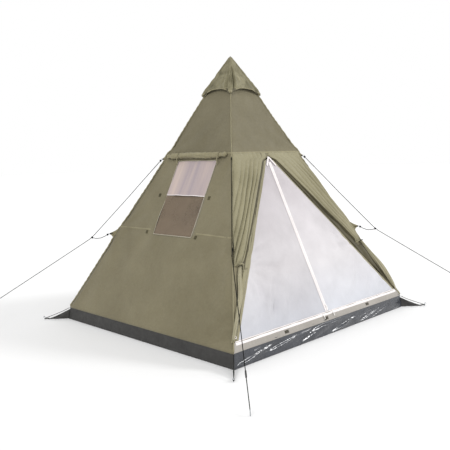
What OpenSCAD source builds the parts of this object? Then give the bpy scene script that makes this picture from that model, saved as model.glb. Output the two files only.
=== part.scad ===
// One-pole teepee tent: four sloping canopy faces in two tiers on a bathtub groundsheet, a triangular door of two
// net leaves, a net window, a vented roof cap, a plug-in centre pole and guy lines at the four hips.
// +Z is up, the door face looks along -Y and the window face along -X. The origin is the middle of
// the footprint, on the ground.

/* [Tent] */
// Width of the door face along the ground
base_w = 2430; // [1800:10:3200]
// Depth of the tent along the ground
base_d = 2270; // [1700:10:3000]
// Height of the apex
tent_h = 2500; // [2000:10:3000]
// Height of the groundsheet's upturned wall
skirt_h = 126; // [60:2:160]
// Girth of the tent at the top of that wall, as a share of the base
skirt_girth = 0.988; // [0.95:0.001:1]
// Girth of the tent at its upper seam, as a share of the base
tier_girth = 0.374; // [0.36:0.001:0.4]
// Thickness of the groundsheet lying on the ground
floor_t = 3; // [2:0.5:5]
// Depth of the canopy cloth, measured level through a sloping face
cloth_d = 3.2; // [2.5:0.1:6]

/* [Door] */
// Height of the lower edge of the door opening
door_low = 184; // [150:2:300]
// Height of the top of the door opening
door_high = 1535; // [1200:5:1600]
// Half width of the door opening at its lower edge
door_half_w = 1155; // [600:5:1155]
// Gap between a net leaf and the cloth round it
door_gap = 8; // [3:1:15]
// Width of one side of the centre zip's tape
tape_w = 15; // [8:1:25]

/* [Window] */
// Height of the window's lower edge
window_low = 865; // [700:5:1000]
// Height of the window's upper edge
window_high = 1517; // [1200:1:1600]
// Half width of the window
window_half_w = 260; // [100:5:300]
// Sideways place of the window's middle
window_mid = -15; // [-40:5:40]
// Height at which the closed curtain ends and the open net begins
curtain_low = 1207; // [1000:1:1400]

/* [Roof] */
// Height at which the canopy cloth ends and the vent net begins
vent_low = 2200; // [2190:5:2300]
// Height of the roof cap's corners
cap_low = 2144; // [2100:1:2200]
// Rise of the cap's arched hem in the middle of a face
cap_arch = 36; // [10:1:60]
// How much wider than the canopy the cap is at the same height
cap_flare = 1.18; // [1.1:0.01:1.3]

/* [Pole] */
// Outer radius of the centre pole
pole_r = 12.5; // [8:0.5:16]
// Wall thickness of the pole tubes
pole_wall = 1.2; // [0.8:0.1:2]
// Length by which each pole section plugs into the one below
plug_l = 70; // [40:5:120]

/* [Rigging] */
// Diameter of the guy lines
guy_d = 6; // [3:0.5:6]
// Diameter of the corner cords
corner_cord_d = 5; // [3:0.5:6]
// Distance from the centre to a guy peg
guy_reach = 2650; // [2300:10:2900]
// Distance from the centre to the near guy peg, which stands closer in
near_reach = 2450; // [2300:10:2900]
// Sideways step of the near guy peg
near_swing = 110; // [0:5:200]
// Distance from the centre to a corner peg
corner_reach = 1890; // [1800:5:2000]
// Radius of the steel pegs
peg_r = 3; // [2:0.5:4]

/* [Hidden] */
$fn = 48;

olive = "#8a8468";
olive_light = "#a39d7c";
net_white = "#dcdcd8";
dark_grey = "#45474a";
beige = "#c3c0b4";
zip_white = "#ecece8";
cord_grey = "#3a3d3a";
steel = "#9a9da0";

SIDES = ["front", "right", "back", "left"];
mitre = 0.9995;         // how far towards the hips a band runs, as a share of the half width
piping_r = 5;           // radius of the piped hip seams
tier_high = 1575;       // height of the upper seam round the canopy
apex_high = 2445;       // height at which the apex patch ends
cap_tip = 2485;         // height at which the cap's four faces meet its tip
diagonal = norm([base_w, base_d]) / 2;

// Girth at a height, as a share of the base: a steep wall, then two tiers of canopy
function girth(z) =
    z < skirt_h ? 1 - (1 - skirt_girth) * z / skirt_h :
    z < tier_high ? skirt_girth + (tier_girth - skirt_girth) * (z - skirt_h) / (tier_high - skirt_h) :
    tier_girth * (tent_h - z) / (tent_h - tier_high);

// Half widths of the tent at a height
function half_x(z) = base_w / 2 * girth(z);
function half_y(z) = base_d / 2 * girth(z);

// Distance from the centre to a hip at a height
function hip_r(z) = diagonal * girth(z);

// A point at a level depth under a face. u is -1 at the face's left hip and 1 at its right hip,
// seen from outside.
function face_point(side, u, z, depth, flare = 1) =
    let (x = half_x(z) * flare - depth, y = half_y(z) * flare - depth)
    side == "front" ? [u * x, -y, z] :
    side == "right" ? [x, u * y, z] :
    side == "back" ? [-u * x, y, z] : [-x, -u * y, z];

// u for a distance in mm from the middle of a face
function across_x(x, z) = x / half_x(z);
function across_y(y, z) = y / half_y(z);

// An outline point on the front face at x, z
function on_front(x, z) = [across_x(x, z), z];
// An outline point on the left face at y, z
function on_left(y, z) = [-across_y(y, z), z];

// Half width of the door opening at a height, up to its knee
knee_half_w = 75;
knee_z = door_high - 30;
function door_half(z) =
    knee_half_w + (door_half_w - knee_half_w) * (knee_z - z) / (knee_z - door_low);

// The corners, as signs of x and y. Near is the one between the door and the window.
CORNERS = [["near", -1, -1], ["left", -1, 1], ["right", 1, -1], ["far", 1, 1]];
function corner(name) = [for (c = CORNERS) if (c[0] == name) c][0];

// A point in a corner's diagonal plane at distance r, and aside from it
function corner_point(name, r, z, aside = 0) =
    let (c = corner(name), ux = c[1] * base_w / 2 / diagonal, uy = c[2] * base_d / 2 / diagonal)
    [ux * r - uy * aside, uy * r + ux * aside, z];
function corner_angle(name) = let (p = corner_point(name, 1, 0)) atan2(p[1], p[0]);

// Routes in a corner's diagonal plane, as [distance from the centre, height]
fork = [1400, 800];
function reach_of(name) = name == "near" ? near_reach : guy_reach;
function swing_of(name) = name == "near" ? near_swing : 0;
GUY_UPPER = [[699, 1527], [860, 1360], [1040, 1170], [1220, 985], [1400, 800]];
GUY_LOWER = [0.25, 0.5, 0.75, 1];
peg_eye_z = 26;
function guy_route(name) = concat(
    [for (p = GUY_UPPER) corner_point(name, p[0], p[1])],
    [for (s = GUY_LOWER) guy_point(name, s)]);
// A point on the stretch from the fork to the peg
function guy_point(name, s) = corner_point(
    name, fork[0] + (reach_of(name) - fork[0]) * s, fork[1] + (peg_eye_z - fork[1]) * s,
    swing_of(name) * s);
BRANCH = [[1243, 825], [1270, 811], [1310, 796], [1355, 792], [1388, 797]];
CORNER_CORD = [[1652, 110], [1720, 80], [1800, 50], [1888, 16]];

// A solid between two depths under a face, over a convex outline that runs counterclockwise
// seen from outside
module slab(side, outline, outer, inner, flare = 1) {
    n = len(outline);
    points = [for (depth = [outer, inner], p = outline) face_point(side, p[0], p[1], depth, flare)];
    outer_faces = [for (i = [1:n - 2]) [0, i + 1, i]];
    inner_faces = [for (i = [1:n - 2]) [n, n + i, n + i + 1]];
    rims = [for (i = [0:n - 1]) let (j = (i + 1) % n) each [[i, j, n + j], [i, n + j, n + i]]];
    polyhedron(points, concat(outer_faces, inner_faces, rims));
}

// A slab that runs from hip to hip, mitred with a hair of clearance
module band(side, low, high, outer = 0, inner = cloth_d) {
    slab(side, [[-mitre, low], [mitre, low], [mitre, high], [-mitre, high]], outer, inner);
}

// The same where it crosses the upper seam, in two tiers
module tiers(side, low, high) {
    band(side, low, tier_high);
    band(side, tier_high, high);
}

// A rectangle on the front face, standing proud from depth outer to inner
module front_patch(x, z, w, h, outer, inner) {
    slab("front", [
        on_front(x - w / 2, z - h / 2), on_front(x + w / 2, z - h / 2),
        on_front(x + w / 2, z + h / 2), on_front(x - w / 2, z + h / 2)
    ], outer, inner);
}

// The same on the left face
module left_patch(y, z, w, h, outer, inner) {
    slab("left", [
        on_left(y + w / 2, z - h / 2), on_left(y - w / 2, z - h / 2),
        on_left(y - w / 2, z + h / 2), on_left(y + w / 2, z + h / 2)
    ], outer, inner);
}

// A tube of eight sides swept along a route
module swept(route, d) {
    sides = 8;
    n = len(route);
    function along(i) = let (v = route[min(i + 1, n - 1)] - route[max(i - 1, 0)]) v / norm(v);
    function level(t) = let (v = cross([0, 0, 1], t)) v / norm(v);
    points = [for (i = [0:n - 1]) let (t = along(i), a = level(t), b = cross(t, a))
        for (k = [0:sides - 1]) route[i] + d / 2 * (cos(360 * k / sides) * a + sin(360 * k / sides) * b)];
    walls = [for (i = [0:n - 2], k = [0:sides - 1])
        let (m = (k + 1) % sides, p = i * sides, q = p + sides)
        each [[p + k, q + k, q + m], [p + k, q + m, p + m]]];
    start = [for (k = [0:sides - 1]) k];
    end = [for (k = [sides - 1:-1:0]) (n - 1) * sides + k];
    polyhedron(points, concat(walls, [start], [end]));
}

// Stands a flat outline of [distance, height] up in a corner's diagonal plane
module in_corner(name, outline, thickness) {
    rotate([90, 0, corner_angle(name)])
        translate([0, 0, -thickness / 2]) linear_extrude(thickness) polygon(outline);
}

module for_corners() {
    for (c = CORNERS) {
        $corner = c[0];
        children();
    }
}

// ---- Groundsheet ----

module floor_sheet() {
    color(dark_grey)
        translate([-base_w / 2, -base_d / 2, 0]) cube([base_w, base_d, floor_t]);
}

module skirt_walls() {
    color(dark_grey)
        for (side = SIDES) band(side, floor_t, skirt_h);
}

patch_half = 120;
patch_t = 2;
module floor_pole_patch() {
    color(dark_grey)
        translate([-patch_half, -patch_half, floor_t])
            cube([2 * patch_half, 2 * patch_half, patch_t]);
}

gusset_t = 3;
gusset_h = 96;
module corner_gussets() {
    color(dark_grey) for_corners()
        in_corner($corner, [
            [hip_r(floor_t) + 2, floor_t], [corner_reach - 25, floor_t], [hip_r(gusset_h) + 2, gusset_h]
        ], gusset_t);
}

// The part of a steel peg that stands above the ground. Its hook bends away from the tent.
module peg(hook_r, neck) {
    cylinder(r = peg_r, h = neck);
    translate([hook_r, 0, neck]) rotate([90, 0, 180])
        rotate_extrude(angle = 200) translate([hook_r, 0]) circle(r = peg_r);
}

corner_hook_r = 7;
module corner_pegs() {
    color(steel) for_corners()
        translate(corner_point($corner, corner_reach + peg_r + corner_cord_d / 2 + 1, 0))
            rotate([0, 0, corner_angle($corner)]) peg(corner_hook_r, 24);
}

module corner_cord(name) {
    color(cord_grey)
        swept([for (p = CORNER_CORD) corner_point(name, p[0], p[1])], corner_cord_d);
}
module corner_cord_near() { corner_cord("near"); }
module corner_cord_left() { corner_cord("left"); }
module corner_cord_right() { corner_cord("right"); }
module corner_cord_far() { corner_cord("far"); }

// ---- Canopy ----

module canopy_front_upper() {
    color(olive) tiers("front", door_high, vent_low);
}

module canopy_front_strips() {
    color(olive) {
        slab("front", [
            on_front(-knee_half_w, knee_z), [0, door_high], [-1, door_high], [-1, door_low],
            on_front(-door_half_w, door_low)
        ], 0, cloth_d);
        slab("front", [
            on_front(knee_half_w, knee_z), on_front(door_half_w, door_low), [1, door_low],
            [1, door_high], [0, door_high]
        ], 0, cloth_d);
    }
}

module canopy_left_upper() {
    color(olive) tiers("left", window_high, vent_low);
}

module canopy_left_middle() {
    color(olive) {
        slab("left", [
            [-mitre, window_low], on_left(window_mid + window_half_w, window_low),
            on_left(window_mid + window_half_w, window_high), [-mitre, window_high]
        ], 0, cloth_d);
        slab("left", [
            on_left(window_mid - window_half_w, window_low), [mitre, window_low],
            [mitre, window_high], on_left(window_mid - window_half_w, window_high)
        ], 0, cloth_d);
    }
}

module canopy_left_lower() {
    color(olive) band("left", skirt_h, window_low);
}

module canopy_right() {
    color(olive) tiers("right", skirt_h, vent_low);
}

module canopy_back() {
    color(olive) tiers("back", skirt_h, vent_low);
}

// Piping along the four hips, just outside the cloth
module hip_seams() {
    color(olive_light) for_corners()
        swept([
            for (z = [skirt_h + 8, tier_high, cap_low - 4])
                corner_point($corner, hip_r(z) + piping_r + 2, z)
        ], 2 * piping_r);
}

module roof_cap() {
    hem = [for (u = [-1:0.25:1]) [u, cap_low + cap_arch * (1 - u * u)]];
    tip = tent_h - 1;
    color(olive) {
        for (side = SIDES)
            slab(side, concat([[0, cap_tip]], [[-1, cap_tip]], hem, [[1, cap_tip]]), 0, cloth_d, cap_flare);
        hull() {
            translate([0, 0, cap_tip - 2]) linear_extrude(1)
                square([half_x(cap_tip) * cap_flare - 1, half_y(cap_tip) * cap_flare - 1] * 2, center = true);
            translate([0, 0, tip]) linear_extrude(1) square(2, center = true);
        }
    }
}

module vent_net() {
    color("#4d5048") for (side = SIDES) band(side, vent_low, 2400);
}

module apex_patch() {
    color(dark_grey) for (side = SIDES) band(side, 2400, apex_high, 0, 2 * cloth_d);
}

// ---- Centre pole ----

pole_base = floor_t + patch_t;
pole_joint_low = 850;
pole_joint_high = 1650;
foot_floor = 6;
foot_r = 20;
pole_top = 2380;

// A pole section from low to high, with a narrower plug on its lower end
module pole_section(low, high, plugged) {
    plug_r = pole_r - pole_wall - 0.3;
    translate([0, 0, low]) difference() {
        cylinder(r = pole_r, h = high - low);
        translate([0, 0, -1]) cylinder(r = pole_r - pole_wall, h = high - low + 2);
    }
    if (plugged)
        translate([0, 0, low - plug_l]) difference() {
            union() {
                cylinder(r = plug_r, h = plug_l);
                translate([0, 0, plug_l - 0.01]) cylinder(r = pole_r - 0.4, h = 6);
            }
            translate([0, 0, -1]) cylinder(r = plug_r - pole_wall, h = plug_l + 8);
        }
}

module pole_lower() {
    color(steel) pole_section(pole_base + foot_floor, pole_joint_low, false);
}

module pole_middle() {
    color(steel) pole_section(pole_joint_low, pole_joint_high, true);
}

module pole_upper() {
    color(steel) pole_section(pole_joint_high, pole_top, true);
}

module pole_foot() {
    color("#2b2b2b") translate([0, 0, pole_base]) difference() {
        cylinder(r = foot_r, h = 38);
        translate([0, 0, foot_floor]) cylinder(r = pole_r, h = 40);
    }
}

// Plastic end with a shoulder that the pole carries and a spigot that goes through the apex patch
module pole_tip() {
    spigot_r = 5;
    color("#2b2b2b") {
        translate([0, 0, pole_top - 40]) cylinder(r = pole_r - pole_wall - 0.3, h = 40);
        translate([0, 0, pole_top]) cylinder(r = pole_r + 1.5, h = 12);
        translate([0, 0, pole_top + 12]) cylinder(r = spigot_r, h = tent_h - 22 - pole_top - 12);
    }
}

// ---- Door ----

zip_line_z = door_low - 12;     // height of the bottom zip's middle
zip_tape_h = 20;
zip_tape_d = 2;
module door_sill() {
    color(beige) band("front", skirt_h, door_low);
}

sill_patch_w = 50;
sill_patch_h = 20;
sill_patch_z = 146;
window_patch_w = 34;
window_patch_h = 40;
SILL_PATCHES = [-580, -40, 608];
WINDOW_PATCHES = [[343, 1206], [-332, 1196], [345, 876], [-329, 870]];
module hook_patches() {
    color(cord_grey) {
        for (x = SILL_PATCHES)
            front_patch(x, sill_patch_z, sill_patch_w, sill_patch_h, -zip_tape_d, -0.1);
        for (p = WINDOW_PATCHES)
            left_patch(p[0], p[1], window_patch_w, window_patch_h, -zip_tape_d, -0.1);
    }
}

module bottom_zip() {
    color(zip_white) slab("front", [
        on_front(-door_half_w, zip_line_z - zip_tape_h / 2), on_front(door_half_w, zip_line_z - zip_tape_h / 2),
        on_front(door_half_w - 8, zip_line_z + zip_tape_h / 2), on_front(8 - door_half_w, zip_line_z + zip_tape_h / 2)
    ], -zip_tape_d, -0.1);
}

leaf_low = door_low + 7;
leaf_gap = 1;
leaf_outer = 0.5;
leaf_inner = 2.8;
leaf_half = door_half(leaf_low) - door_gap;
leaf_knee = knee_half_w - door_gap;
// The outline of a net leaf. way is -1 for the left one and 1 for the right one.
module net_leaf(way) {
    outline = [
        on_front(way * leaf_gap, leaf_low), on_front(way * leaf_half, leaf_low),
        on_front(way * leaf_knee, knee_z - 2), on_front(way * leaf_gap, door_high - 12)
    ];
    color(net_white)
        slab("front", way > 0 ? outline : [for (i = [3:-1:0]) outline[i]], leaf_outer, leaf_inner);
}
module net_door_left() { net_leaf(-1); }
module net_door_right() { net_leaf(1); }

// One half of the centre zip, sewn on the leaf's free edge
module zip_tape(way) {
    low = leaf_low + 2;
    high = door_high - 45;
    color(zip_white)
        front_patch(way * (leaf_gap + tape_w / 2), (low + high) / 2, tape_w, high - low, -zip_tape_d, leaf_outer - 0.1);
}
module zip_tape_left() { zip_tape(-1); }
module zip_tape_right() { zip_tape(1); }

// The slope of the front face, as degrees back from upright
front_lean = atan2(half_y(skirt_h) - half_y(tier_high), tier_high - skirt_h);

// Places a piece on the front face: its x along the face, its z up the slope, its -y outwards
module on_slope(x, z, depth) {
    translate([x, depth - half_y(z), z]) rotate([-front_lean, 0, 0]) children();
}

slider_w = 11;
slider_l = 18;
slider_t = 5;
pull_l = 30;
pull_t = 2;
pin_r = 1.2;
slider_wall = 2;        // thickness of the bridge's two ears
pull_clear = 0.5;       // clearance of a pull between the ears
pivot_y = -8;           // place of the pull's pin on the slider
pivot_z = 4;
// The slider's body with the bridge that its pull hangs on, outwards at -y
module slider_body() {
    ear = 5;
    translate([-slider_w / 2, -slider_t, 0]) cube([slider_w, slider_t, slider_l]);
    for (x = [-slider_w / 2, slider_w / 2 - slider_wall])
        translate([x, -slider_t - ear, 1]) cube([slider_wall, ear, ear + 1]);
    translate([-slider_w / 2, pivot_y, pivot_z]) rotate([0, 90, 0]) cylinder(r = pin_r, h = slider_w);
}

// The pull, with a bore round the bridge's pin
module pull_tab() {
    width = slider_w - 2 * slider_wall - 2 * pull_clear;
    translate([0, pivot_y, pivot_z]) difference() {
        union() {
            translate([-width / 2, 0, 0]) rotate([0, 90, 0]) cylinder(r = pin_r + 1.2, h = width);
            translate([-width / 2, -pull_t / 2, -pull_l]) cube([width, pull_t, pull_l]);
        }
        translate([-width, 0, 0]) rotate([0, 90, 0]) cylinder(r = pin_r + 0.08, h = 2 * width);
    }
}

tape_front = -zip_tape_d - 0.7;     // depth at which a slider's back runs, clear of the tape
centre_slider_x = leaf_gap + tape_w / 2;
centre_slider_z = door_low + 41;
side_slider_x = 70;
module centre_zip_slider() {
    color(zip_white) on_slope(centre_slider_x, centre_slider_z, tape_front) slider_body();
}
module centre_zip_pull() {
    color(zip_white) on_slope(centre_slider_x, centre_slider_z, tape_front) pull_tab();
}
module left_zip_slider() {
    color(zip_white) on_slope(-side_slider_x, zip_line_z - slider_l / 2, tape_front) slider_body();
}
module left_zip_pull() {
    color(zip_white) on_slope(-side_slider_x, zip_line_z - slider_l / 2, tape_front) pull_tab();
}
module right_zip_slider() {
    color(zip_white) on_slope(side_slider_x, zip_line_z - slider_l / 2, tape_front) slider_body();
}
module right_zip_pull() {
    color(zip_white) on_slope(side_slider_x, zip_line_z - slider_l / 2, tape_front) pull_tab();
}

// The outer door flap, gathered along the hip: a wide pleated part above its tie and a narrow tail
tie_z = 682;
bundle_d = 23;
tail_low = 192;
module outer_flap(way) {
    upper = [
        [way * 0.985, tie_z + 12], [way * 0.985, tier_high - 10], on_front(way * 30, tier_high - 10),
        on_front(way * (door_half(1480) + 12), 1480), on_front(way * (door_half(tie_z) + 25), tie_z + 12)
    ];
    tail = [
        [way * 0.985, tail_low], [way * 0.985, tie_z - 12],
        on_front(way * (door_half(tie_z) + 40), tie_z - 12), on_front(way * (half_x(tail_low) - 45), tail_low)
    ];
    color(olive_light)
        for (outline = [upper, tail]) {
            n = len(outline);
            slab("front", way > 0 ? outline : [for (i = [n - 1:-1:0]) outline[i]], -bundle_d, -0.3);
        }
}
module outer_flap_left() { outer_flap(-1); }
module outer_flap_right() { outer_flap(1); }

// ---- Window ----

window_outer = 0.5;
window_inner = 2.8;
window_clear = 2;       // how much narrower the net is than its opening
module window_net() {
    color(net_white) left_patch(window_mid, (window_low + curtain_low) / 2,
        2 * window_half_w - window_clear, curtain_low - window_low - 0.2, window_outer, window_inner);
}

module window_curtain() {
    color(net_white) left_patch(window_mid, (curtain_low + window_high) / 2,
        2 * window_half_w - window_clear, window_high - curtain_low - 0.2, window_outer, window_inner);
}

// The rolled rain flap above the window
roll_z = tier_high - 4;
roll_r = 27;
roll_half = 405;
side_lean = atan2(half_x(skirt_h) - half_x(tier_high), tier_high - skirt_h);
roll_x = -half_x(roll_z) - (roll_r + 3) / cos(side_lean);
module window_flap_roll() {
    color(olive)
        translate([roll_x, -roll_half, roll_z]) rotate([-90, 0, 0])
            cylinder(r = roll_r, h = 2 * roll_half);
}

// Bands round the two gathered door flaps and the window roll
ROLL_TIES = [-311, 226];
tie_w = 14;
tie_t = 2;
module roll_ties() {
    color(cord_grey) {
        for (y = ROLL_TIES)
            translate([roll_x, y - tie_w / 2, roll_z]) rotate([-90, 0, 0])
                difference() {
                    cylinder(r = roll_r + tie_t, h = tie_w);
                    translate([0, 0, -1]) cylinder(r = roll_r, h = tie_w + 2);
                    translate([roll_r - 4, -roll_r - tie_t - 1, -1]) cube([10, 2 * roll_r + 6, tie_w + 2]);
                }
        for (way = [-1, 1])
            front_patch(way * (door_half(tie_z) + 75), tie_z, 95, 20, -bundle_d - 2, -0.3);
    }
}

// ---- Rigging ----

tab_t = 3;
upper_tab = [[1525, 2], [1638, 2]];
lower_tab = [[780, 2], [915, 2]];
module guy_tabs() {
    offset_r = 2 * piping_r + 3;
    color(olive) for_corners() {
        in_corner($corner, [
            [hip_r(1525) + offset_r, 1525], [680, 1540], [hip_r(1638) + offset_r, 1638]
        ], tab_t);
        in_corner($corner, [
            [hip_r(780) + offset_r, 780], [1220, 832], [hip_r(915) + offset_r, 915]
        ], tab_t);
    }
}

// A small ring of webbing at the tip of each tab
loop_r = 8;
loop_t = 2;
module tab_loops() {
    color(cord_grey) for_corners()
        for (p = [[680 + loop_r + loop_t, 1536], [1220 + loop_r + loop_t, 830]])
            translate(corner_point($corner, p[0], p[1])) rotate([90, 0, corner_angle($corner)])
                rotate_extrude() translate([loop_r, 0]) circle(r = loop_t);
}

module guy_line(name) {
    color(cord_grey) swept(guy_route(name), guy_d);
}
module guy_line_near() { guy_line("near"); }
module guy_line_left() { guy_line("left"); }
module guy_line_right() { guy_line("right"); }
module guy_line_far() { guy_line("far"); }

module guy_branch(name) {
    color(cord_grey) swept([for (p = BRANCH) corner_point(name, p[0], p[1])], guy_d);
}
module guy_branch_near() { guy_branch("near"); }
module guy_branch_left() { guy_branch("left"); }
module guy_branch_right() { guy_branch("right"); }
module guy_branch_far() { guy_branch("far"); }

// A plastic runner that slides on the line above the peg
tensioner_at = 0.8;
tensioner_l = 44;
tensioner_w = 18;
tensioner_t = 10;
module tensioner(name) {
    low = guy_point(name, tensioner_at);
    run = guy_point(name, 1) - guy_point(name, 0);
    color(cord_grey)
        translate(low) rotate([0, 90 - asin(run[2] / norm(run)), atan2(run[1], run[0])])
            difference() {
                translate([-tensioner_w / 2, -tensioner_t / 2, -tensioner_l / 2])
                    cube([tensioner_w, tensioner_t, tensioner_l]);
                translate([0, 0, -tensioner_l]) cylinder(r = guy_d / 2 + 0.4, h = 2 * tensioner_l);
            }
}
module tensioner_near() { tensioner("near"); }
module tensioner_left() { tensioner("left"); }
module tensioner_right() { tensioner("right"); }
module tensioner_far() { tensioner("far"); }

guy_hook_r = 9;
module guy_pegs() {
    color(steel) for_corners()
        translate(corner_point($corner, reach_of($corner) + peg_r + guy_d / 2 + 1, 0, swing_of($corner)))
            rotate([0, 0, corner_angle($corner)]) peg(guy_hook_r, 34);
}

floor_sheet();
skirt_walls();
floor_pole_patch();
corner_gussets();
corner_pegs();
corner_cord_near();
corner_cord_left();
corner_cord_right();
corner_cord_far();
canopy_front_upper();
canopy_front_strips();
canopy_left_upper();
canopy_left_middle();
canopy_left_lower();
canopy_right();
canopy_back();
hip_seams();
roof_cap();
vent_net();
apex_patch();
pole_lower();
pole_middle();
pole_upper();
pole_foot();
pole_tip();
door_sill();
hook_patches();
bottom_zip();
net_door_left();
net_door_right();
zip_tape_left();
zip_tape_right();
centre_zip_slider();
centre_zip_pull();
left_zip_slider();
left_zip_pull();
right_zip_slider();
right_zip_pull();
outer_flap_left();
outer_flap_right();
window_net();
window_curtain();
window_flap_roll();
roll_ties();
guy_tabs();
tab_loops();
guy_line_near();
guy_line_left();
guy_line_right();
guy_line_far();
guy_branch_near();
guy_branch_left();
guy_branch_right();
guy_branch_far();
tensioner_near();
tensioner_left();
tensioner_right();
tensioner_far();
guy_pegs();
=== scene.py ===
import math

import bmesh
import bpy
import numpy as np
from mathutils import Matrix, Vector


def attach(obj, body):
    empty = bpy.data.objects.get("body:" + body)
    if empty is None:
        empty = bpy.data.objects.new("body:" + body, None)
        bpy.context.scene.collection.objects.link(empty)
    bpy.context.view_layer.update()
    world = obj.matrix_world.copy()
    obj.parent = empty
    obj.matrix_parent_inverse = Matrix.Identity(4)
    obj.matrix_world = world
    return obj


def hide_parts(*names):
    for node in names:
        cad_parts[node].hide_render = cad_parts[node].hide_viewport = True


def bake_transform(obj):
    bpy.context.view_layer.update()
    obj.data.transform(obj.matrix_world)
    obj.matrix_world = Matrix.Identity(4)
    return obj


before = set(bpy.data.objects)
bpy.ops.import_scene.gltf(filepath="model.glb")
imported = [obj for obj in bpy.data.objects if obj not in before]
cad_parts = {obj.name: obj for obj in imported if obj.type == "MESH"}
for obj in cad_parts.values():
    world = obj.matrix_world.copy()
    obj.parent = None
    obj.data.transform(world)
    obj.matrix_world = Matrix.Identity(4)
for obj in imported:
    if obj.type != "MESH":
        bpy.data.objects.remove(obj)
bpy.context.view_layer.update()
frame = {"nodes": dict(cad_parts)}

# ---- The tent's measures, in metres, as the CAD has them ----

BASE_W, BASE_D, TENT_H = 2.43, 2.27, 2.5
SKIRT_H, TIER_H = 0.126, 1.575
SKIRT_GIRTH, TIER_GIRTH = 0.988, 0.374
VENT_LOW, VENT_HIGH, APEX_TOP = 2.2, 2.4, 2.445
DOOR_LOW, DOOR_HIGH, DOOR_HALF_W = 0.184, 1.535, 1.155
KNEE_HALF_W, KNEE_Z, DOOR_GAP = 0.075, 1.505, 0.008
LEAF_LOW = DOOR_LOW + 0.007
WINDOW_LOW, WINDOW_HIGH, CURTAIN_LOW = 0.865, 1.517, 1.207
WINDOW_HALF_W, WINDOW_MID = 0.26, -0.015
TIE_Z, TAIL_LOW = 0.682, 0.192
CAP_LOW, CAP_ARCH, CAP_FLARE, CAP_TIP = 2.144, 0.036, 1.18, 2.4975
DIAGONAL = math.hypot(BASE_W, BASE_D) / 2
UX, UY = BASE_W / 2 / DIAGONAL, BASE_D / 2 / DIAGONAL
CORNERS = {"near": (-1, -1), "left": (-1, 1), "right": (1, -1), "far": (1, 1)}
RADIAL = {n: np.array([sx * UX, sy * UY, 0.0]) for n, (sx, sy) in CORNERS.items()}
ASIDE = {n: np.array([-sy * UY, sx * UX, 0.0]) for n, (sx, sy) in CORNERS.items()}
UP, EAST = np.array([0, 0, 1.0]), np.array([1.0, 0, 0])


def girth(z):
    return np.interp(z, [0, SKIRT_H, TIER_H, TENT_H], [1, SKIRT_GIRTH, TIER_GIRTH, 0])


def half_x(z):
    return BASE_W / 2 * girth(z)


def half_y(z):
    return BASE_D / 2 * girth(z)


def half_width(side, z):
    return half_x(z) if side in ("front", "back") else half_y(z)


def hip_r(z):
    return DIAGONAL * girth(z)


def door_half(z):
    return KNEE_HALF_W + (DOOR_HALF_W - KNEE_HALF_W) * (KNEE_Z - z) / (KNEE_Z - DOOR_LOW)


def corner_point(name, r, z, aside=0.0):
    return Vector(r * RADIAL[name] + aside * ASIDE[name] + z * UP)


def corner_grid(name, r, aside, z):
    """Points at r from the centre towards a corner, stepped aside."""
    return r[..., None] * RADIAL[name] + aside[..., None] * ASIDE[name] + z[..., None] * UP


# ---- Camera, at the photograph's angle ----

YAW, PITCH, ROLL = math.radians(45.0), math.radians(-6.37), math.radians(-1.57)
EYE = Vector((-4.304, -4.171, 1.551))
LENS = 49.12


def link(name, data):
    obj = bpy.data.objects.new(name, data)
    bpy.context.scene.collection.objects.link(obj)
    return obj


camera = link("camera", bpy.data.cameras.new("camera"))
camera.data.sensor_width, camera.data.lens = 36.0, LENS
turn = Matrix.Translation(EYE)
for angle, axis in ((-YAW, "Z"), (math.pi / 2 + PITCH, "X"), (ROLL, "Z")):
    turn = turn @ Matrix.Rotation(angle, 4, axis)
camera.matrix_world = turn
bpy.context.scene.camera = camera

# ---- Materials ----


def srgb(r, g, b):
    return tuple(((c / 255 + 0.055) / 1.055) ** 2.4 if c > 10 else c / 3294.6 for c in (r, g, b))


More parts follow.
